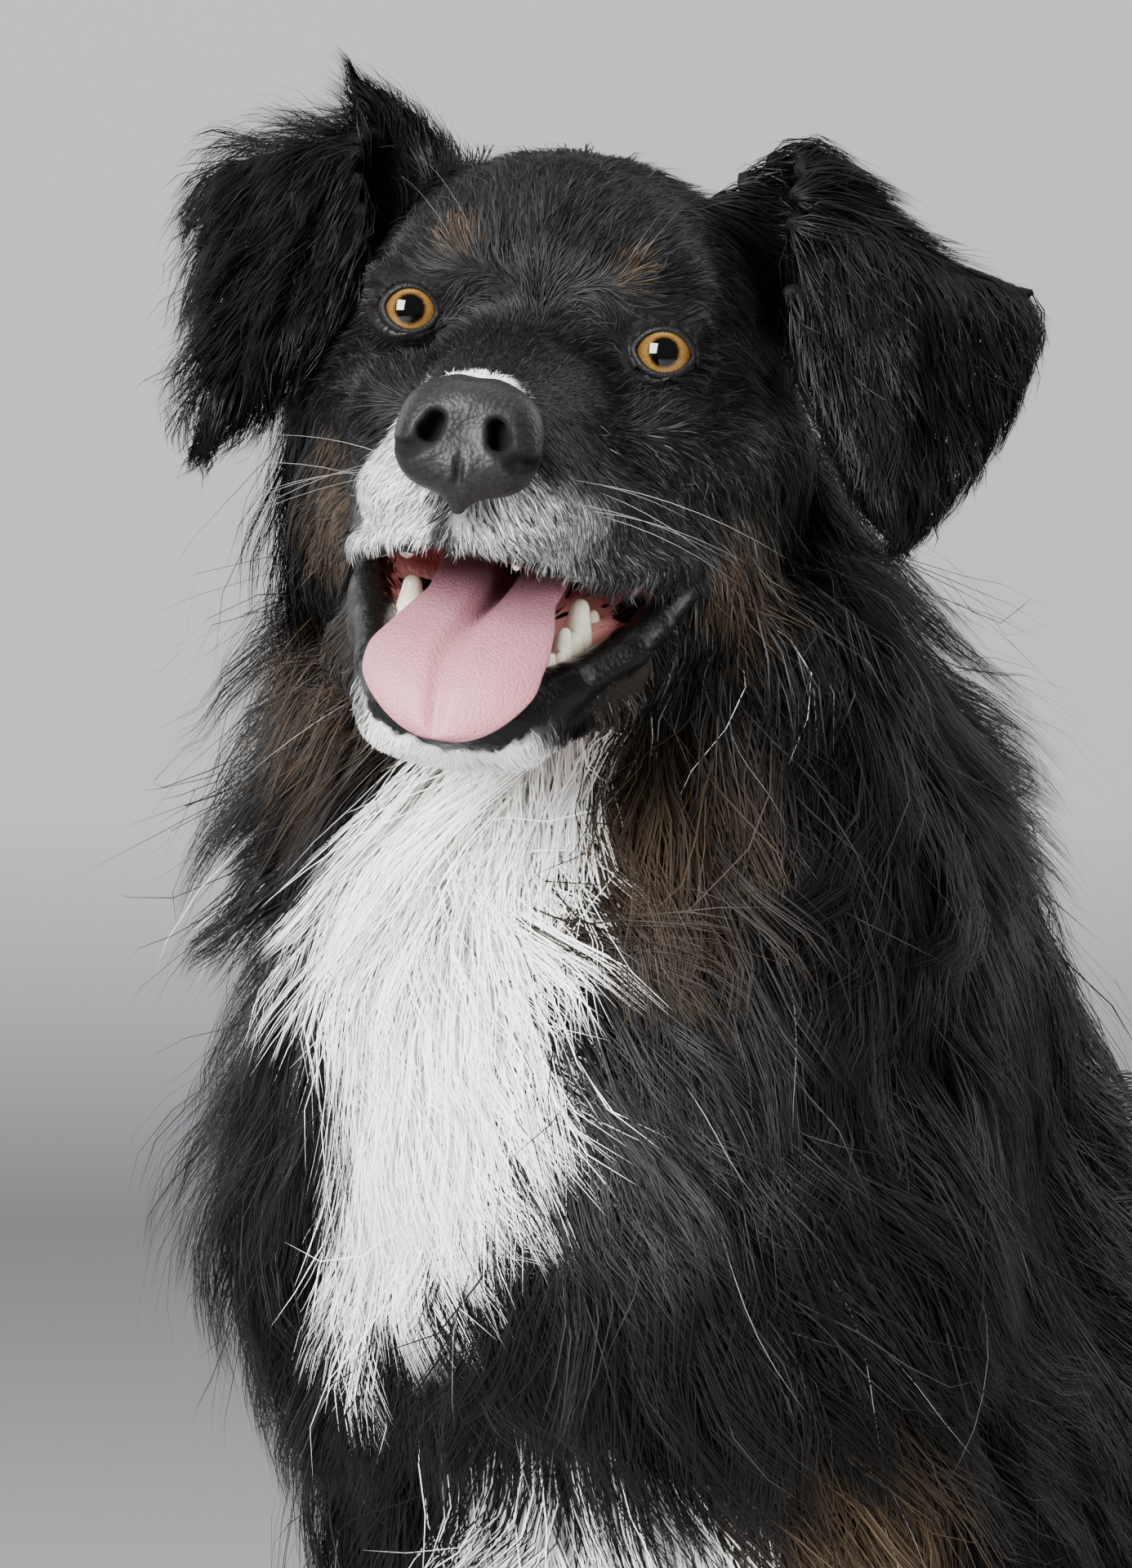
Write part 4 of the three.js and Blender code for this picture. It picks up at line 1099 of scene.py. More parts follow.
def coat_piece(name, chosen, count, segments, seed, clump=12, pull=0.7, wave=0.0, stray=0.03, **finish):
    """One piece of the coat: thin tapered strips that lie along the body and gather into locks.

    A lock has about `clump` strands, drawn together by `pull`; a share of `stray` ones stay out. The
    finish may say how much longer, higher or thinner they are, how they hang, lean, close and round,
    how lighter, mixed or white their colour is, and their slot.
    """
    rng = np.random.default_rng(seed)
    places, on_map = scatter(rng, chosen & ~BARE, count)
    sizes, part = coat_sizes(places)
    leads = rng.choice(count, max(count // clump, 1), replace=False)
    owner = nearest(places, places[leads])
    lock = rng.random((len(leads), 3))[owner]
    own = rng.random((count, 3))
    loose = rng.random(count) < stray
    fluffy = np.clip(sizes[:, 0] / 80, 0.15, 1)
    spread = 0.05 + 0.10 * fluffy
    turn = swirl(places) * fluffy + rng.normal(0, 1, len(leads))[owner] * spread + rng.normal(0, 0.09, count)
    bend = rng.normal(0, 0.28, len(leads))[owner] * fluffy + rng.normal(0, 0.14, count)
    bend = np.where(loose, bend + rng.normal(0, 0.35, count), bend)
    length = sizes[:, 0] * finish.get("longer", 1.0) * (0.62 + 0.36 * lock[:, 0] + 0.24 * own[:, 0])
    height = sizes[:, 1] * finish.get("higher", 1.0) * (0.20 + 0.72 * lock[:, 1] + 0.16 * own[:, 1])
    height = np.where(loose, height * 1.35 + 1, height)
    hang, lean = finish.get("hang", 7.0), finish.get("lean")
    line, outs = grow(places, length, height, turn, bend, segments, hang, lean)
    hold = np.where(loose, 0.0, pull)
    line = gather(rng, line, leads, owner, hold, finish.get("close", 0.8))
    big = leads[:: max(clump // 2, 3)]
    line = gather(rng, line, big, nearest(places, places[big]), hold * 0.45, 0.5)
    side = unit(np.cross(outs, unit(np.gradient(line, axis=1))))
    t = np.linspace(0, 1, segments + 1)[None, :, None]
    line = line + side * (wave * t * np.sin(t * 6.5 + 6.28 * lock[:, 2][:, None, None]))
    width = sizes[:, 2] * finish.get("thin", 1.0)
    draw = 0.5 * (lock[:, 0] + own[:, 2])
    ribbons(name, rng, line, side, outs, width, on_map, part, draw, finish)


def ribbons(name, rng, line, side, outs, width, on_map, part, draw, finish):
    """Thin tapered strips along lines of points, each with its markings."""
    count, segments = len(line), line.shape[1] - 1
    t = np.linspace(0, 1, segments + 1)
    roll = rng.normal(0, 0.22, count)[:, None, None]
    c, s = np.cos(roll), np.sin(roll)
    side, face = side * c + outs * s, outs * c - side * s
    profile = np.interp(t, [0, 0.25, 0.7, 1], [0.6, 1, 0.7, 0])[None, :, None]
    half = side * profile * (width * rng.uniform(0.6, 1.1, count) / 2)[:, None, None]
    along = unit(np.gradient(line, axis=1))
    face = face - along * np.sum(face * along, 2, keepdims=True)

    def pairs(rows, offset, last):
        left, right = rows[:, :-1] - offset[:, :-1], rows[:, :-1] + offset[:, :-1]
        return np.concatenate([np.stack([left, right], 2).reshape(count, -1, 3), last], 1)

    points = pairs(line, half, line[:, -1:])
    points[..., 2] = np.maximum(points[..., 2], 0.3)
    normals = pairs(face, side * finish.get("round", 0.4), face[:, -1:])
    middle = line[:, max(1, round(segments * 0.6))]
    white, tan = white_share(middle, part), tan_share(middle, part)
    if "white" in finish:
        white, tan = np.full(count, finish["white"]), np.zeros(count)
    elif finish.get("mixed"):
        uneven = rng.normal(0, 1, count) * np.clip(0.10 + 0.35 * white, 0, 0.20)
        white = np.clip(white * 1.15 - 0.07 + uneven, 0, 1) ** 2 * (white > 0.01)
        tan = np.clip(tan * 1.2 + rng.normal(0, 0.2, count), 0, 1) * (tan > 0.03) * (1 - white)
    else:
        white = (rng.random(count) < white).astype(float)
        tan = np.clip(tan * rng.uniform(0.4, 1.3, count), 0, 1) * (1 - white)
    # lighter shifts each strand's draw: above zero it brings more grey hairs and paints the black lighter as
    # a sheen, below zero it paints the black darker as shade
    draw = np.clip(draw + finish.get("lighter", 0.0), 0, 1)
    slot = finish.get("slot", "black_coat")
    strips(name, points, normals, segments, on_map, white, tan, draw, slot)


def strips(name, points, normals, segments, on_map, white, tan, draw, slot):
    """The mesh of a coat piece, with each strip's markings, its draw and its place on the skin's map."""
    count, each = points.shape[:2]
    quads = np.array([[2 * i, 2 * i + 2, 2 * i + 3, 2 * i + 1] for i in range(segments - 1)]).reshape(-1)
    tip = np.array([2 * segments - 2, 2 * segments, 2 * segments - 1])
    corners = np.concatenate([quads, tip])
    loops = (corners[None, :] + each * np.arange(count)[:, None]).reshape(-1)
    sizes = np.array([4] * (segments - 1) + [3])
    starts = np.cumsum(np.concatenate([[0], np.tile(sizes, count)]))[:-1]
    mesh = bpy.data.meshes.new(name)
    mesh.vertices.add(count * each)
    mesh.vertices.foreach_set("co", (points * MM).astype(np.float32).ravel())
    mesh.loops.add(len(loops))
    mesh.loops.foreach_set("vertex_index", loops.astype(np.int32))
    mesh.polygons.add(len(starts))
    mesh.polygons.foreach_set("loop_start", starts.astype(np.int32))
    mesh.update(calc_edges=True)
    mesh.shade_smooth()
    mesh.normals_split_custom_set_from_vertices(unit(normals.reshape(-1, 3)).tolist())
    across = np.array([0, 1] * segments + [0.5])
    up = np.array([i // 2 / segments for i in range(2 * segments)] + [1.0])
    patch = np.stack([across - 0.5, up - 0.5], 1) * TUFT_PATCH
    bake = (on_map[:, None, :] + patch[None]).reshape(-1, 2)[loops]
    layer = mesh.uv_layers.new(name="OFBake")
    layer.uv.foreach_set("vector", bake.astype(np.float32).ravel())
    markings = np.stack([white, tan, draw, np.ones(count)], 1)
    note(mesh, "markings", np.repeat(markings, each, 0), "FLOAT_COLOR")
    note(mesh, "along", np.tile(up, count))
    finished(placed(name, mesh), slot, COAT)


# ---------------------------------------------------------------- materials


def bare_material(name):
    """A new material, its nodes, and its one surface shader."""
    made = bpy.data.materials.new(name)
    made.use_nodes = True
    return made, made.node_tree, made.node_tree.nodes["Principled BSDF"]


def plug(tree, value, socket):
    """A socket linked to what another node gives, or set to a value."""
    if isinstance(value, bpy.types.NodeSocket):
        tree.links.new(value, socket)
    else:
        socket.default_value = value


def feed(tree, node, **sockets):
    """Links or sets some of a node's sockets."""
    for name, value in sockets.items():
        plug(tree, value, node.inputs[name.replace("_", " ")])
    return node


def add(tree, kind, **sockets):
    return feed(tree, tree.nodes.new(kind), **sockets)


def use(tree, group, **sockets):
    """A node that stands for a shared group of nodes."""
    node = tree.nodes.new("ShaderNodeGroup")
    node.node_tree = group
    return feed(tree, node, **sockets)


def mix(tree, share, a, b, blend_type="MIX"):
    """Colours mixed by a share."""
    node = tree.nodes.new("ShaderNodeMix")
    node.data_type = "RGBA"
    node.blend_type = blend_type
    for index, value in ((0, share), (6, a), (7, b)):
        plug(tree, (*value, 1) if isinstance(value, tuple) else value, node.inputs[index])
    return node.outputs[2]


def math_node(tree, operation, a, b, c=0.0, clamp=False):
    node = tree.nodes.new("ShaderNodeMath")
    node.operation = operation
    node.use_clamp = clamp
    for value, socket in zip((a, b, c), node.inputs):
        plug(tree, value, socket)
    return node.outputs[0]


def scaled(tree, value, factor, shift, clamp=False):
    """A value times a factor, plus a shift."""
    return math_node(tree, "MULTIPLY_ADD", value, factor, shift, clamp)


def multiplied(tree, color, factor):
    """A colour times a number."""
    grey = add(tree, "ShaderNodeCombineColor", Red=factor, Green=factor, Blue=factor)
    return mix(tree, 1.0, color, grey.outputs[0], "MULTIPLY")


def own_place(tree):
    return add(tree, "ShaderNodeTexCoord").outputs["Object"]


def noise(tree, place, scale, detail, **more):
    return add(tree, "ShaderNodeTexNoise", Vector=place, Scale=scale, Detail=detail, **more).outputs["Fac"]


def noted(tree, name, output="Fac"):
    """A value that a mesh keeps at its points."""
    node = tree.nodes.new("ShaderNodeAttribute")
    node.attribute_name = name
    return node.outputs[output]


def group_of(name, inputs, outputs):
    """An empty node group with named sockets: numbers in, numbers or colours out."""
    group = bpy.data.node_groups.new(name, "ShaderNodeTree")
    for label, value in inputs.items():
        socket = group.interface.new_socket(label, in_out="INPUT", socket_type="NodeSocketFloat")
        socket.default_value = value
    for label, kind in outputs.items():
        group.interface.new_socket(label, in_out="OUTPUT", socket_type=kind)
    given = group.nodes.new("NodeGroupInput")
    return group, given.outputs, group.nodes.new("NodeGroupOutput")


def coat_colours():
    """Hair colour from the markings, drawn lighter or darker for each strand, and along it from a painted
    shade at the root to lighter at the tip.
    """
    group, given, out = group_of(
        "coat_colours",
        {"White": 0.0, "Tan": 0.0, "Draw": 0.5, "Along": 0.5},
        {"Color": "NodeSocketColor", "Roughness": "NodeSocketFloat"},
    )
    draw, along = given["Draw"], given["Along"]
    black = mix(group, draw, (0.0014, 0.0013, 0.0014), (0.0080, 0.0078, 0.0084))
    rare = math_node(group, "GREATER_THAN", draw, 0.86)
    black = mix(group, math_node(group, "MULTIPLY", rare, 0.5), black, (0.031, 0.031, 0.035))
    tan = mix(group, draw, (0.022, 0.014, 0.008), (0.17, 0.115, 0.065))
    white = mix(group, draw, (0.88, 0.87, 0.84), (0.98, 0.975, 0.955))
    # painted shade: dark and tan strands run from about four tenths of their colour at the root to a third
    # more at the tip, white ones dip only a little
    dark_shaded_to_root = multiplied(group, mix(group, given["Tan"], black, tan), scaled(group, along, 0.95, 0.38))
    pale_shaded_to_root = multiplied(group, white, scaled(group, along, 0.08, 0.94, True))
    color = mix(group, given["White"], dark_shaded_to_root, pale_shaded_to_root)
    feed(group, out, Color=color, Roughness=scaled(group, draw, 0.20, 0.30))
    return group


def fine_grain():
    """Small rounded grains with finer unevenness, as a height, for leather, lips and tongue."""
    group, given, out = group_of("fine_grain", {"Scale": 900.0, "Fine": 0.3}, {"Height": "NodeSocketFloat"})
    place = own_place(group)
    cells = add(group, "ShaderNodeTexVoronoi", Vector=place, Scale=given["Scale"])
    mound = math_node(group, "SUBTRACT", 1.0, cells.outputs["Distance"])
    fine = noise(group, place, math_node(group, "MULTIPLY", given["Scale"], 2.5), 4.0)
    feed(group, out, Height=math_node(group, "MULTIPLY_ADD", fine, given["Fine"], mound))
    return group


COAT_COLOURS = coat_colours()
FINE_GRAIN = fine_grain()


def grained(tree, shader, size, fine, depth, distance=0.001):
    """Fine grains as bumps on a shader's surface; gives their height."""
    height = use(tree, FINE_GRAIN, Scale=size, Fine=fine).outputs["Height"]
    bump = add(tree, "ShaderNodeBump", Strength=depth, Distance=distance, Height=height)
    feed(tree, shader, Normal=bump.outputs[0])
    return height


def marked_colours(tree, **sockets):
    """The coat's colours for a mesh's markings, and the markings' third value."""
    parts = add(tree, "ShaderNodeSeparateColor", Color=noted(tree, "markings", "Color")).outputs
    colours = use(tree, COAT_COLOURS, White=parts["Red"], Tan=parts["Green"], **sockets)
    return colours, parts["Blue"]


def coat_material():
    made, tree, shader = bare_material("long_coat")
    colours, draw = marked_colours(tree, Along=noted(tree, "along"))
    feed(tree, colours, Draw=draw)
    feed(tree, shader, Base_Color=colours.outputs["Color"], Roughness=colours.outputs["Roughness"])
    feed(tree, shader, Specular_IOR_Level=0.1)
    return made


def skin_material():
    """Short hair and skin under the coat, in the coat's markings, and the wet dark of lips and mouth."""
    made, tree, shader = bare_material("skin_and_short_hair")
    place = own_place(tree)
    # Along=0.3 gives the skin and its short hair the painted shade of the coat's roots
    colours, wet = marked_colours(tree, Draw=noise(tree, place, 900.0, 3.0), Along=0.3)
    pink = math_node(tree, "GREATER_THAN", noise(tree, place, 75.0, 2.0), 0.42)
    pink = math_node(tree, "MULTIPLY", pink, noted(tree, "inside"))
    # the mouth's pink patches are its own mottling; their colour is brightened beyond their own, partly as
    # painted light against the shade inside the mouth
    lips = mix(tree, pink, (0.0045, 0.0038, 0.0038), (0.80, 0.36, 0.34))
    feed(
        tree,
        shader,
        Base_Color=mix(tree, wet, colours.outputs["Color"], lips),
        Roughness=scaled(tree, wet, -0.26, 0.62),
        Specular_IOR_Level=0.08,
        Coat_Weight=math_node(tree, "MULTIPLY", wet, 0.22),
        Coat_Roughness=0.3,
    )
    grained(tree, shader, 520.0, 0.6, 0.5)
    return made


def plain_material(name, color, roughness, uneven, scale, grains=None, coat=0.0, shine=0.5):
    """A finish whose colour wanders between two, with fine grains on its surface."""
    made, tree, shader = bare_material(name)
    cloud = noise(tree, own_place(tree), scale, 4.0)
    feed(
        tree,
        shader,
        Base_Color=mix(tree, scaled(tree, cloud, 2.4, -0.7, True), color, uneven),
        Roughness=scaled(tree, cloud, 0.2, roughness - 0.1),
        Specular_IOR_Level=shine,
        Coat_Weight=coat,
        Coat_Roughness=0.12,
    )
    if grains:
        size, depth = grains
        grained(tree, shader, size, 0.4, depth)
    return made


COAT = coat_material()
SKIN_FINISH = skin_material()


def dress_skin():
    """The skin carries the coat's markings, bare dark lips, and a pink and black mouth."""
    q = to_head(SKIN_POINTS)
    white = white_share(SKIN_POINTS, SKIN_PART)
    tan = tan_share(SKIN_POINTS, SKIN_PART)
    head = SKIN_PART == "head"
    lips = np.full(len(q), 99.0)
    for s in SIDES:
        lips = np.minimum(lips, upper_lip(s)(q) + 9.0 * (q[:, 2] > upper_lip_line(q)))
        lips = np.minimum(lips, lower_lip(s)(q) - lip_edge(q) + 1.2)
        lips = np.minimum(lips, opening_between_lids(s)(q) + 0.7)
    out = np.zeros_like(q)
    out[head] = out_of_head(SKIN_POINTS[head])
    mouth = faces_mouth(q, out) * head
    wet = np.maximum((1 - soft_step(lips, 0.8, 2.2)) * head, mouth)
    inside = mouth * (1 - soft_step(lips, -9, -4) * (lips < 0)) * soft_step(q[:, 1], -118, -84)
    white = np.where(head, white**2, white)
    white[on_nose_seat(q, 2)] = 0
    note(SKIN.data, "markings", np.stack([white, tan, wet, np.ones(len(q))], 1), "FLOAT_COLOR")
    note(SKIN.data, "inside", inside)
    nodes = ["head", "jaw", "ear_left", "ear_right", "neck", "torso", "tail_base", "tail_middle", "tail_tip"]
    for side in SIDE_NAMES.values():
        nodes += [f"{part}_{side}" for part in ("foreleg", "forepaw", "thigh", "hindfoot")]
    finished(SKIN, "black_coat", SKIN_FINISH, nodes)


dress_skin()

# ---------------------------------------------------------------- the coat

IS = {name: TRIANGLE_PART == name for name in PART_NAMES}
FRONT = TRIANGLE_HEAD_AT[:, 1]
AHEAD = TRIANGLE_AT[:, 1] < -225
EAR_EDGES = {side: ear_edges(side) for side in SIDES}


def ear_lean(p):
    """Ear hair follows the ear over its fold, spreads over its edges and draws together at its tip."""
    q = to_head(p)
    lean = np.zeros_like(q)
    for side, (inner, outer) in EAR_EDGES.items():
        chosen = q[:, 0] * side > 0
        middle = (inner + outer) / 2
        near = np.stack([length_of(q[chosen] - at) for at in middle], 1)
        weights = np.exp(-(((near - near.min(1)[:, None]) / 9) ** 2) - near / 9)
        weights /= weights.sum(1)[:, None]
        across = unit(outer - inner)
        half = length_of(outer - inner) / 2
        share = sum(
            weights[:, i] * ((q[chosen] - middle[i]) @ across[i]) / half[i] for i in range(EAR_STEPS)
        )
        steps = np.arange(EAR_STEPS)
        spread = weights @ np.interp(steps, [0, 7, 15], [0.5, 0.3, -0.4]) * np.clip(share, -1, 1)
        down = weights @ unit(np.gradient(middle, axis=0))
        strength = weights @ np.interp(steps, [0, 5, 9], [0.2, 0.5, 1.4])
        lean[chosen] = (down + weights @ across * (1.2 * spread)[:, None]) * strength[:, None]
    return lean @ HEAD_TURN.T


def tuft_lean(p):
    """The tufts at the ears' roots stand up beside the skull and fall outwards."""
    q = to_head(p)
    left = (q[:, 0] > 0)[:, None]
    return np.where(left, [2.2, 0.2, 0.35], [0.1, -0.15, 1.5]) @ HEAD_TURN.T


def fringe_lean(p):
    """Hair on the edge of the upper lip hangs over the mouth."""
    q = to_head(p)
    lean = np.tile([0.0, -0.35, -1.8], (len(q), 1))
    lean[:, 0] = 0.25 * np.sign(q[:, 0])
    return lean @ HEAD_TURN.T


def ear_root_triangles():
    q, x = TRIANGLE_HEAD_AT, np.abs(TRIANGLE_HEAD_AT[:, 0])
    on_ear = IS["ear"] & (q[:, 2] > 46) & (x < 62) & (q[:, 1] < 34)
    return on_ear | (IS["head"] & (x > 30) & (q[:, 1] > -12) & (q[:, 1] < 40) & (q[:, 2] > 32))


def lip_edge_triangles():
    q = TRIANGLE_HEAD_AT
    near = np.min([upper_lip(s)(q) for s in SIDES], 0) < 2.5
    return near & IS["head"] & (q[:, 1] < -48) & (INSIDE_MOUTH(q) >= 2)


def grow_coat():
    """Every coat piece: where it grows, its strands, their segments, its seed, and its habit."""
    short = dict(clump=5, pull=0.3, mixed=True, thin=0.72)
    muzzle, skull = IS["head"] & (FRONT < -72), IS["head"] & (FRONT >= 0)
    # the muzzle's lighter adds grey hairs; the face's adds grey hairs and lightens its black as a painted
    # sheen
    coat_piece("coat_muzzle", muzzle, 37000, 2, 1, lighter=0.06, **short)
    coat_piece("coat_face", IS["head"] & ~muzzle & ~skull, 56000, 2, 2, lighter=0.16, **short)
    coat_piece("coat_skull", skull, 24000, 3, 3, clump=8, pull=0.45, mixed=True, thin=0.8)
    # painted shade: the ears' and their tufts' negative lighter darkens their black
    ears = dict(clump=9, pull=0.5, stray=0.08, longer=0.74, lean=ear_lean, thin=0.62, lighter=-0.22)
    coat_piece("coat_ears", IS["ear"], 22000, 3, 4, **ears)
    tufts = dict(clump=7, pull=0.3, higher=1.6, hang=20.0, lean=tuft_lean, thin=0.62, lighter=-0.1)
    coat_piece("coat_ear_tufts", ear_root_triangles(), 6000, 4, 14, **tufts)
    fringe = dict(clump=3, pull=0.3, longer=1.1, thin=0.5, mixed=True, lean=fringe_lean)
    coat_piece("coat_lip_fringe", lip_edge_triangles(), 1300, 3, 15, **fringe)
    blaze = IS["torso"] & (white_share(TRIANGLE_AT, TRIANGLE_PART) > 0.3) & (TRIANGLE_AT[:, 2] > 330)
    bright = dict(clump=30, pull=0.55, close=0.6, wave=4.0, stray=0.008, thin=0.5, round=0.15)
    coat_piece("coat_blaze", blaze, 14000, 5, 17, **bright)
    over = dict(clump=38, pull=0.76, close=0.8, wave=5.5, higher=1.15, thin=0.62)
    under = dict(clump=14, pull=0.6, wave=2.0, longer=0.72, higher=0.6, thin=0.8)
    for k, (name, chosen) in enumerate({"neck": IS["neck"], "chest": IS["torso"] & AHEAD}.items()):
        coat_piece(f"coat_{name}_over", chosen, 20500, 5, 5 + k, **over)
        coat_piece(f"coat_{name}_under", chosen, 12500, 3, 7 + k, **under)
    back = dict(clump=18, pull=0.65, wave=2.0, thin=0.85)
    coat_piece("coat_back", IS["torso"] & ~AHEAD, 21000, 3, 9, **back)
    coat_piece("coat_forelegs", IS["foreleg"], 10500, 3, 10, clump=8, pull=0.5)
    coat_piece("coat_thighs", IS["thigh"], 16000, 3, 11, clump=14, pull=0.6, wave=1.5, thin=0.8)
    feet = IS["forepaw"] | IS["hindfoot"]
    coat_piece("coat_feet", feet, 12500, 2, 12, clump=6, pull=0.4, slot="white_coat")
    coat_piece("coat_tail", IS["tail"], 9000, 3, 13, clump=12, pull=0.7, wave=1.5)
    pale = (IS["neck"] | (IS["torso"] & AHEAD)) & (TRIANGLE_AT[:, 1] < -260)
    loose = dict(clump=1, pull=0.0, wave=2.0, stray=1.0, white=0.20, thin=0.3, slot="white_coat")
    coat_piece("coat_pale_strays", pale, 60, 9, 16, **loose)


grow_coat()

# ---------------------------------------------------------------- eyes

# the iris from the pupil out: distance from its middle, where 1 is a quarter turn, and colour
IRIS_RINGS = [
    (0.0, (0.001, 0.001, 0.0015)),
    (0.235, (0.0012, 0.001, 0.001)),
    (0.255, (0.046, 0.020, 0.0045)),
    (0.30, (0.140, 0.074, 0.018)),
    (0.38, (0.104, 0.051, 0.011)),
    (0.455, (0.048, 0.020, 0.004)),
    (0.50, (0.008, 0.005, 0.004)),
    (0.60, (0.012, 0.007, 0.006)),
]


def iris_material():
    """Amber iris with fibres, dark rim and pupil, under a wet clear coat; pale at the eye's corner."""
    made, tree, shader = bare_material("amber_eye")
    place = noted(tree, "iris", "Vector")
    out = add(tree, "ShaderNodeSeparateXYZ", Vector=place).outputs["Z"]
    bend = scaled(tree, noise(tree, place, 9.0, 5.0, Distortion=0.15), 0.05, out)
    rings = add(tree, "ShaderNodeValToRGB", Fac=bend)
    stops = rings.color_ramp.elements
    for at, _ in IRIS_RINGS[1:-1]:
        stops.new(at)
    for stop, (at, color) in zip(stops, IRIS_RINGS):
        stop.position, stop.color = at, (*color, 1)
    light = scaled(tree, noise(tree, place, 22.0, 3.0), 1.6, 0.05)
    color = multiplied(tree, rings.outputs["Color"], light)
    feed(
        tree,
        shader,
        Base_Color=mix(tree, noted(tree, "corner"), color, (0.62, 0.42, 0.40)),
        Roughness=0.5,
        Specular_IOR_Level=0.0,
        Coat_Weight=1.0,
        Coat_Roughness=0.02,
        Coat_IOR=1.45,
    )
    return made


def eye_piece(s):
    """An eyeball with a bulging cornea, turned to where the dog looks."""
    around, down = 96, 72
    polar = np.linspace(0, 1, down) ** 1.35 * math.pi * 0.995
    turn = np.linspace(0, 2 * math.pi, around, endpoint=False)
    polar, turn = (g.ravel() for g in np.meshgrid(polar, turn, indexing="ij"))
    bulge = 0.6 * np.clip(np.cos(polar * 1.9), 0, 1) * (polar < 0.9)
    spread = EYE_ASIDE * np.cos(turn)[:, None] + EYE_UP * np.sin(turn)[:, None]
    way = EYE_AHEAD * np.cos(polar)[:, None] + spread * np.sin(polar)[:, None]
    points = eye_centre(s) + way * (EYE_R - 0.15 + bulge)[:, None]
    eye = mesh_of(f"eyeball_{SIDE_NAMES[s]}", from_head(points), ring_faces(down, around))
    place = np.stack([np.cos(turn), np.sin(turn), polar / (math.pi / 2)], 1)
    note(eye.data, "iris", place, "FLOAT_VECTOR")
    towards_nose = s * np.cos(turn)
    note(eye.data, "corner", soft_step(towards_nose, 0.80, 0.92) * soft_step(polar, 0.76, 0.82))
    finished(eye, "eye", IRIS, [f"eye_{SIDE_NAMES[s]}"])


def lid_rim(s):
    """The dark moist rim of the lids, which follows the opening over the eyeball."""
    wide, above, below = OPENING[s]
    middle = []
    for high, way in ((above, 1), (below, -1)):
        radius, shift = arc_of(wide, high)
        reach = math.asin(wide / radius)
        for a in np.linspace(-reach, reach, 26)[:-1] * way:
            u, v = radius * math.sin(a), way * (radius * math.cos(a) - shift)
            depth = math.sqrt(max((EYE_R + 0.45) ** 2 - u * u - v * v, 0))
            middle.append(eye_centre(s) + EYE_ASIDE * u + EYE_UP * v + EYE_AHEAD * depth)
    middle = np.array(middle)
    count, ring = len(middle), 10
    along = unit(np.roll(middle, -1, 0) - np.roll(middle, 1, 0))
    out = unit(middle - eye_centre(s))
    across = np.cross(along, out)
    points = []
    for j in range(ring):
        a = 2 * math.pi * j / ring
        points.append(middle + across * (1.15 * math.cos(a)) + out * (0.8 * math.sin(a)))
    points = np.stack(points, 1).reshape(-1, 3)
    rim = mesh_of(f"lid_rim_{SIDE_NAMES[s]}", from_head(points), ring_faces(count, ring, closed=True))
    finished(rim, "lips_and_mouth", LID_SKIN)


IRIS = iris_material()
LID_SKIN = plain_material(
    "lid_skin", (0.003, 0.0027, 0.0027), 0.5, (0.007, 0.006, 0.006), 300.0, (1400.0, 0.2), shine=0.15
)
for eye_side in SIDES:
    eye_piece(eye_side)
    lid_rim(eye_side)

# ---------------------------------------------------------------- nose


def head_surface(name, form, low, high, step):
    """A mesh made from a form in the head's frame, and its points there."""
    points, quads = surface_of(form, low, high, step)
    points = settle(form, points)
    return mesh_of(name, from_head(points), quads), points


def nose_form():
    """The nose pad with its wings, the comma-shaped nostrils and the groove down its middle."""
    pad = blend(
        6,
        ball([0, -147, -25], [17.2, 11, 10.5]),
        *both_sides(lambda s: ball([s * 11.2, -149, -33.5], [8.6, 10, 11.5])),
        ball([0, -150, -39], [12.5, 8.5, 9.0]),
        limb([0, -151.5, -42], [0, -149.5, -50.5], 4.2, 1.5),
    )
    pad = carve(4, pad, ball([0, -154, -12.2], [3.4, 12, 2.2]))
    for s in SIDES:
        pad = carve(1.6, pad, nostril(s))
    return carve(1.2, pad, limb([0, -161.5, -30], [0, -154, -56], 0.7, 1.5))


def nostril(s):
    return blend(
        2,
        limb([s * 8.4, -163, -28.8], [s * 8.0, -153.5, -28.5], 2.5, 2.1),
        limb([s * 9.8, -162, -32.4], [s * 9.2, -153.5, -31.8], 3.4, 2.7),
        limb([s * 10.8, -161, -35.2], [s * 14.8, -157, -37.6], 2.2, 1.5),
        limb([s * 14.8, -158, -37.6], [s * 20, -150, -35.8], 1.3, 0.7),
    )


def nose_material():
    """Dark pebbled leather, darker in the grooves between its pebbles and black inside the nostrils, both as
    painted shade.
    """
    made, tree, shader = bare_material("nose_leather")
    cloud, hollow = noise(tree, own_place(tree), 110.0, 4.0), noted(tree, "hollow")
    pebbles = grained(tree, shader, 750.0, 0.5, 0.2)
    leather = mix(tree, cloud, (0.0062, 0.0058, 0.0058), (0.0150, 0.0138, 0.0138))
    # painted shade: the leather darkens in the grooves between its pebbles
    leather = multiplied(tree, leather, scaled(tree, pebbles, 0.9, 0.05, True))
    # painted shade: black where the nostrils' hollows lie
    color = mix(tree, hollow, leather, (0.0012, 0.001, 0.001))
    rough = scaled(tree, hollow, 0.45, 0.46)
    feed(tree, shader, Base_Color=color, Roughness=rough, Specular_IOR_Level=0.24)
    return made


def nose_piece():
    pad, points = head_surface("nose_pad", nose_form(), [-24, -166, -56], [24, -132, -10], 0.8)
    holes = np.min([nostril(s)(points) for s in SIDES], 0)
    # painted shade deep inside the nostrils, kept as the hollow value
    painted_nostril_shade = (1 - soft_step(holes, 0.8, 1.8)) * soft_step(points[:, 1], -161, -157.5)
    note(pad.data, "hollow", painted_nostril_shade)
    finished(pad, "nose_leather", nose_material(), ["nose"])


nose_piece()

# ---------------------------------------------------------------- tongue and teeth

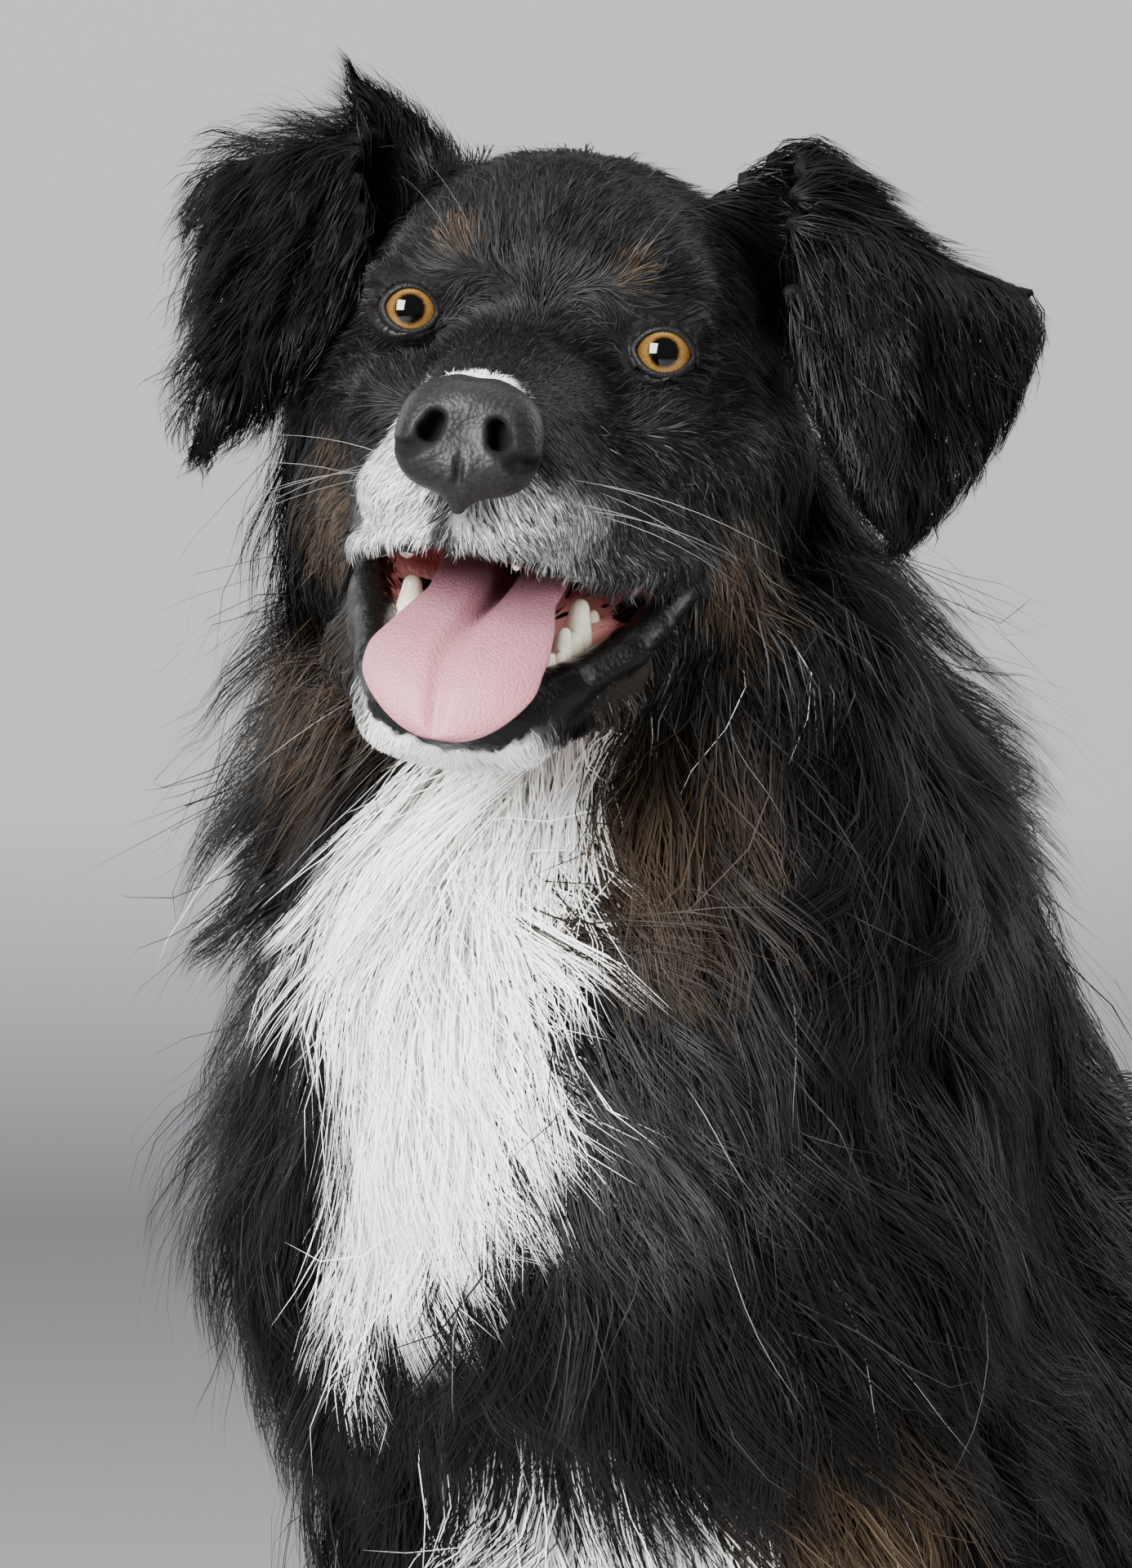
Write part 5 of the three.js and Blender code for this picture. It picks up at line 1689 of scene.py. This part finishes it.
TONGUE_LINE = [
    [1, -24, -58],
    [4, -60, -57],
    [6.5, -90, -66],
    [4, -106, -76],
    [0.5, -117, -87],
    [0.5, -124, -98],
    [1, -127.5, -111],
]
# half the tongue's width, from its root at 0 to its tip at 1
TONGUE_HALVES = [0, 0.36, 0.52, 0.61, 0.69, 0.77, 0.87, 1], [14, 19, 17.8, 17.6, 21.5, 24.6, 24.4, 22]


def tongue_piece():
    """A long tongue that spreads towards its rounded tip, with a groove and low side lobes."""
    rows, columns = 72, 56
    line, along = smooth_path(TONGUE_LINE, rows)
    up = unit(np.cross([1.0, 0, 0], along))
    up *= np.sign(up[:1, 2:3])
    points = []
    for i in range(rows):
        t = i / (rows - 1)
        half = np.interp(t, *TONGUE_HALVES)
        half *= math.sqrt(max(1 - max((t - 0.82) / 0.183, 0) ** 2, 0.0))
        thick = np.interp(t, [0, 0.5, 0.9, 1], [6, 4.8, 3.2, 2.4]) * math.sqrt(max(half / 22, 0.08))
        for j in range(columns):
            a = 2 * math.pi * j / columns
            x = half * math.cos(a)
            share = x / max(half, 1e-6)
            top = max(math.sin(a), 0)
            middle = np.interp(t, [0, 0.5, 0.75, 1], [1.5, 0, -1.2, -2.0])
            groove = np.interp(t, [0, 0.45, 0.62, 0.8, 1], [9.0, 9.5, 7.5, 4.2, 1.6])
            groove *= math.exp(-(((x - middle) / np.interp(t, [0, 0.6, 1], [4.2, 2.6, 1.5])) ** 2)) * top
            cup = np.interp(t, [0, 0.5, 0.72, 0.85, 1], [5.0, 4.0, -1.0, -2.4, -1.0]) * abs(share) ** 2.2
            wave = 0.9 * math.sin(8 * t + 2.2 * share) * abs(share)
            lift = up[i] * (thick * math.sin(a) - groove + cup + wave)
            points.append(line[i] + np.array([x, 0, 0]) + lift)
    tongue = mesh_of("tongue_flesh", from_head(points), tube_faces(rows, columns))
    note(tongue.data, "along", np.repeat(np.linspace(0, 1, rows), columns))
    finished(tongue, "tongue", tongue_material(), ["tongue"])
    smooth = tongue.modifiers.new("smooth", "SUBSURF")
    smooth.levels = smooth.render_levels = 1


def tongue_material():
    """Moist pink with fine papillae, darker towards the throat: partly its own deeper colour, partly painted
    shade where it leaves the mouth.
    """
    made, tree, shader = bare_material("moist_tongue")
    cloud = noise(tree, own_place(tree), 70.0, 4.0)
    pinks = mix(tree, cloud, (0.36, 0.128, 0.155), (0.50, 0.205, 0.235))
    # partly painted shade: dark up to about halfway along, fully pink only at the tip
    near_tip = scaled(tree, noted(tree, "along"), 2.0, -0.95, True)
    feed(
        tree,
        shader,
        Base_Color=mix(tree, near_tip, (0.15, 0.075, 0.100), pinks),
        Roughness=0.5,
        Subsurface_Weight=0.25,
        Subsurface_Radius=(0.004, 0.0015, 0.001),
        Coat_Weight=0.12,
        Coat_Roughness=0.3,
    )
    grained(tree, shader, 1100.0, 0.6, 0.45, 0.0008)
    return made


tongue_piece()


def cheek_tooth(at, height, width):
    """A lumpy cheek tooth: a row of three blunt cusps, the middle one tallest."""
    peaks = []
    for k in (-1, 0, 1):
        root = np.array(at, float) + [0, k * width / 3, 0]
        tip = root + [0, 0, 0.95 * height * (1 - 0.45 * abs(k))]
        peaks.append((root, tip, 0.34 * width, 0.15 * width))
    return peaks


# a jaw's cheek teeth from front to back: place along the jaw, height, width
LOWER_CHEEK_TEETH = [(-106, 7, 7), (-98, 10, 10), (-87, 14, 13), (-73, 18, 18), (-57, 11, 13)]
UPPER_CHEEK_TEETH = [(-112, 5, 6), (-102, 6, 8), (-90, 7, 10), (-74, 9, 15)]


def lower_teeth():
    posts = []
    for s, out in ((1, 1.0), (-1, 0.86)):
        posts.append(([s * 15.5, -114, -56], [s * 17, -117, -42], 4.2, 1.2))
        for k, (y, tall, wide) in enumerate(LOWER_CHEEK_TEETH):
            posts += cheek_tooth([s * (20.5 + 1.6 * k) * out, y, -56], tall, wide)
    for k in INCISORS:
        posts.append(([k * 3.6, -121 + k * k * 0.5, -56], [k * 3.8, -123 + k * k * 0.5, -48.5], 1.9, 1.3))
    return blend(0.8, *(limb(open_jaw(a), open_jaw(b), ra, rb) for a, b, ra, rb in posts))


def upper_teeth():
    posts = []
    for s in SIDES:
        posts.append(([s * 13.5, -125, -48], [s * 14.5, -126, -62], 4.0, 1.2))
        for k, (y, tall, wide) in enumerate(UPPER_CHEEK_TEETH):
            posts += cheek_tooth([s * (17 + 2.2 * k), y, -50], -tall, wide)
    for k in INCISORS:
        posts.append(([k * 4.1, -134 + k * k * 0.7, -50], [k * 4.2, -135 + k * k * 0.7, -57], 2.1, 1.5))
    return blend(0.8, *(limb(*post) for post in posts))


ENAMEL = plain_material("tooth_enamel", (0.74, 0.66, 0.50), 0.25, (0.86, 0.80, 0.68), 160.0, None, 0.4)
UPPER_TEETH, _ = head_surface("teeth_upper", upper_teeth(), [-32, -146, -74], [32, -60, -40], 1.0)
LOWER_TEETH, _ = head_surface("teeth_lower", lower_teeth(), [-36, -132, -112], [36, -34, -52], 1.0)
for teeth in (UPPER_TEETH, LOWER_TEETH):
    finished(teeth, "teeth", ENAMEL)

# ---------------------------------------------------------------- whiskers and claws


def tapered_tubes(name, lines, radii, ring, slot, material):
    """Thin closed tubes along lines of points, wide at their first point and fine at their last."""
    points, faces = [], []
    for line, radius in zip(lines, radii):
        line = np.array(line, float)
        along = unit(np.gradient(line, axis=0))
        side = unit(np.cross(along, [0.3, 0.2, 1.0]))
        up = np.cross(along, side)
        start, steps = len(points), len(line)
        for i in range(steps):
            size = radius * (1 - i / (steps - 1)) ** 0.7 if np.isscalar(radius) else radius[i]
            for j in range(ring):
                a = 2 * math.pi * j / ring
                way = side[i] * math.cos(a) + up[i] * math.sin(a)
                points.append(line[i] + way * max(size, 0.02))
        faces += tube_faces(steps, ring, start)
    finished(mesh_of(name, points, faces), slot, material)


def whiskers_piece():
    """Long stiff hairs in rows on the muzzle, a few over the eyes and under the chin."""
    rng = np.random.default_rng(31)
    lines, radii = [], []
    for s in SIDES:
        starts = []
        for row in range(2):
            starts += [([s * (24 + 2.5 * k), -128 + 9 * k, -38 - 5 * row], 1.0) for k in range(3)]
        starts += [([s * 24, -56, 28 + 3 * k], 0.5) for k in range(2)]
        starts += [([s * (9 + 5 * k), -112 + 5 * k, -114], 0.35) for k in range(3)]
        for at, share in starts:
            at = np.array(at) + rng.normal(0, 1.2, 3)
            way = np.array([s * 1.0, rng.uniform(-0.35, 0.45), rng.uniform(-0.35, 0.25)])
            if share < 1:
                way = np.array([s * 0.45, -0.7, 0.75 if at[2] > 0 else -0.8]) + rng.normal(0, 0.12, 3)
            long = rng.uniform(34, 58) * (0.5 + 0.5 * share)
            t = np.linspace(0, 1, 8)[:, None]
            droop = np.array([0, 0.12 * long, -0.22 * long]) * t**2
            lines.append(from_head(at + way / np.linalg.norm(way) * long * t + droop))
            radii.append(0.11 if share == 1 else 0.08)
    tapered_tubes("whiskers", lines, radii, 5, "white_coat", WHISKER)


def claws_piece():
    """Curved dark claws at the front of every toe."""
    lines, radii = [], []
    t = np.linspace(0, 1, 8)[:, None]
    paws = [(s * LEG_X, -334) for s in SIDES] + [(s * HIND_X, -178) for s in SIDES]
    for x, y in paws:
        for k in TOES:
            base = np.array([x + k * 13.0, y + abs(k) * 6 - 15, 11.5])
            fall = np.array([0, 0, -8.8]) * t**2 + [0, 0, 1.2] * np.sin(t * 3.1)
            lines.append(base + np.array([k * 0.8, -13.5, 0]) * t + fall)
            radii.append(2.9 * (1 - t[:, 0]) ** 0.65 + 0.25)
    tapered_tubes("claws", lines, radii, 10, "claw", HORN)


WHISKER = plain_material("whisker_hair", (0.27, 0.26, 0.25), 0.45, (0.03, 0.03, 0.03), 25.0)
HORN = plain_material(
    "claw_horn", (0.012, 0.010, 0.009), 0.30, (0.045, 0.036, 0.030), 220.0, (600.0, 0.15), 0.2
)
whiskers_piece()
claws_piece()

# ---------------------------------------------------------------- floor


def add_floor():
    """A floor that sweeps up into a plain pale wall behind the dog; painted shade turns the floor and the
    foot of the sweep a darker grey.
    """
    width, near, far, cove, height = 9.0, -6.0, 3.2, 1.2, 4.5
    sweep = [(far + cove * math.sin(a), cove * (1 - math.cos(a))) for a in np.linspace(0.1, math.pi / 2, 16)]
    away = -FLAT_BACK
    side = Vector((away.y, -away.x, 0))
    points = []
    for reach, up in [(near, 0.0), (far, 0.0), *sweep, (far + cove, height)]:
        for s in (-1, 1):
            at = away * reach + side * (s * width)
            points.append((at.x, at.y, up))
    faces = [(i, i + 1, i + 3, i + 2) for i in range(0, len(points) - 2, 2)]
    mesh = bpy.data.meshes.new("studio_floor")
    mesh.from_pydata(points, [], faces)
    mesh.shade_smooth()
    made, tree, shader = bare_material("paper_with_painted_floor_shade")
    up = add(tree, "ShaderNodeSeparateXYZ", Vector=own_place(tree)).outputs["Z"]
    # painted shade: darker grey on the floor, pale from about 0.3 m up the sweep
    paper = mix(tree, scaled(tree, up, 3.5, 0.0, True), (0.34, 0.34, 0.35), (0.86, 0.86, 0.89))
    feed(tree, shader, Base_Color=paper, Roughness=0.9, Specular_IOR_Level=0.1)
    mesh.materials.append(made)
    placed("studio_floor", mesh)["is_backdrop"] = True


add_floor()

boxes = {"cad": CAD_BOX, "visual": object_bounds()}
{name: [list(map(float, corner)) for corner in box] for name, box in boxes.items()}
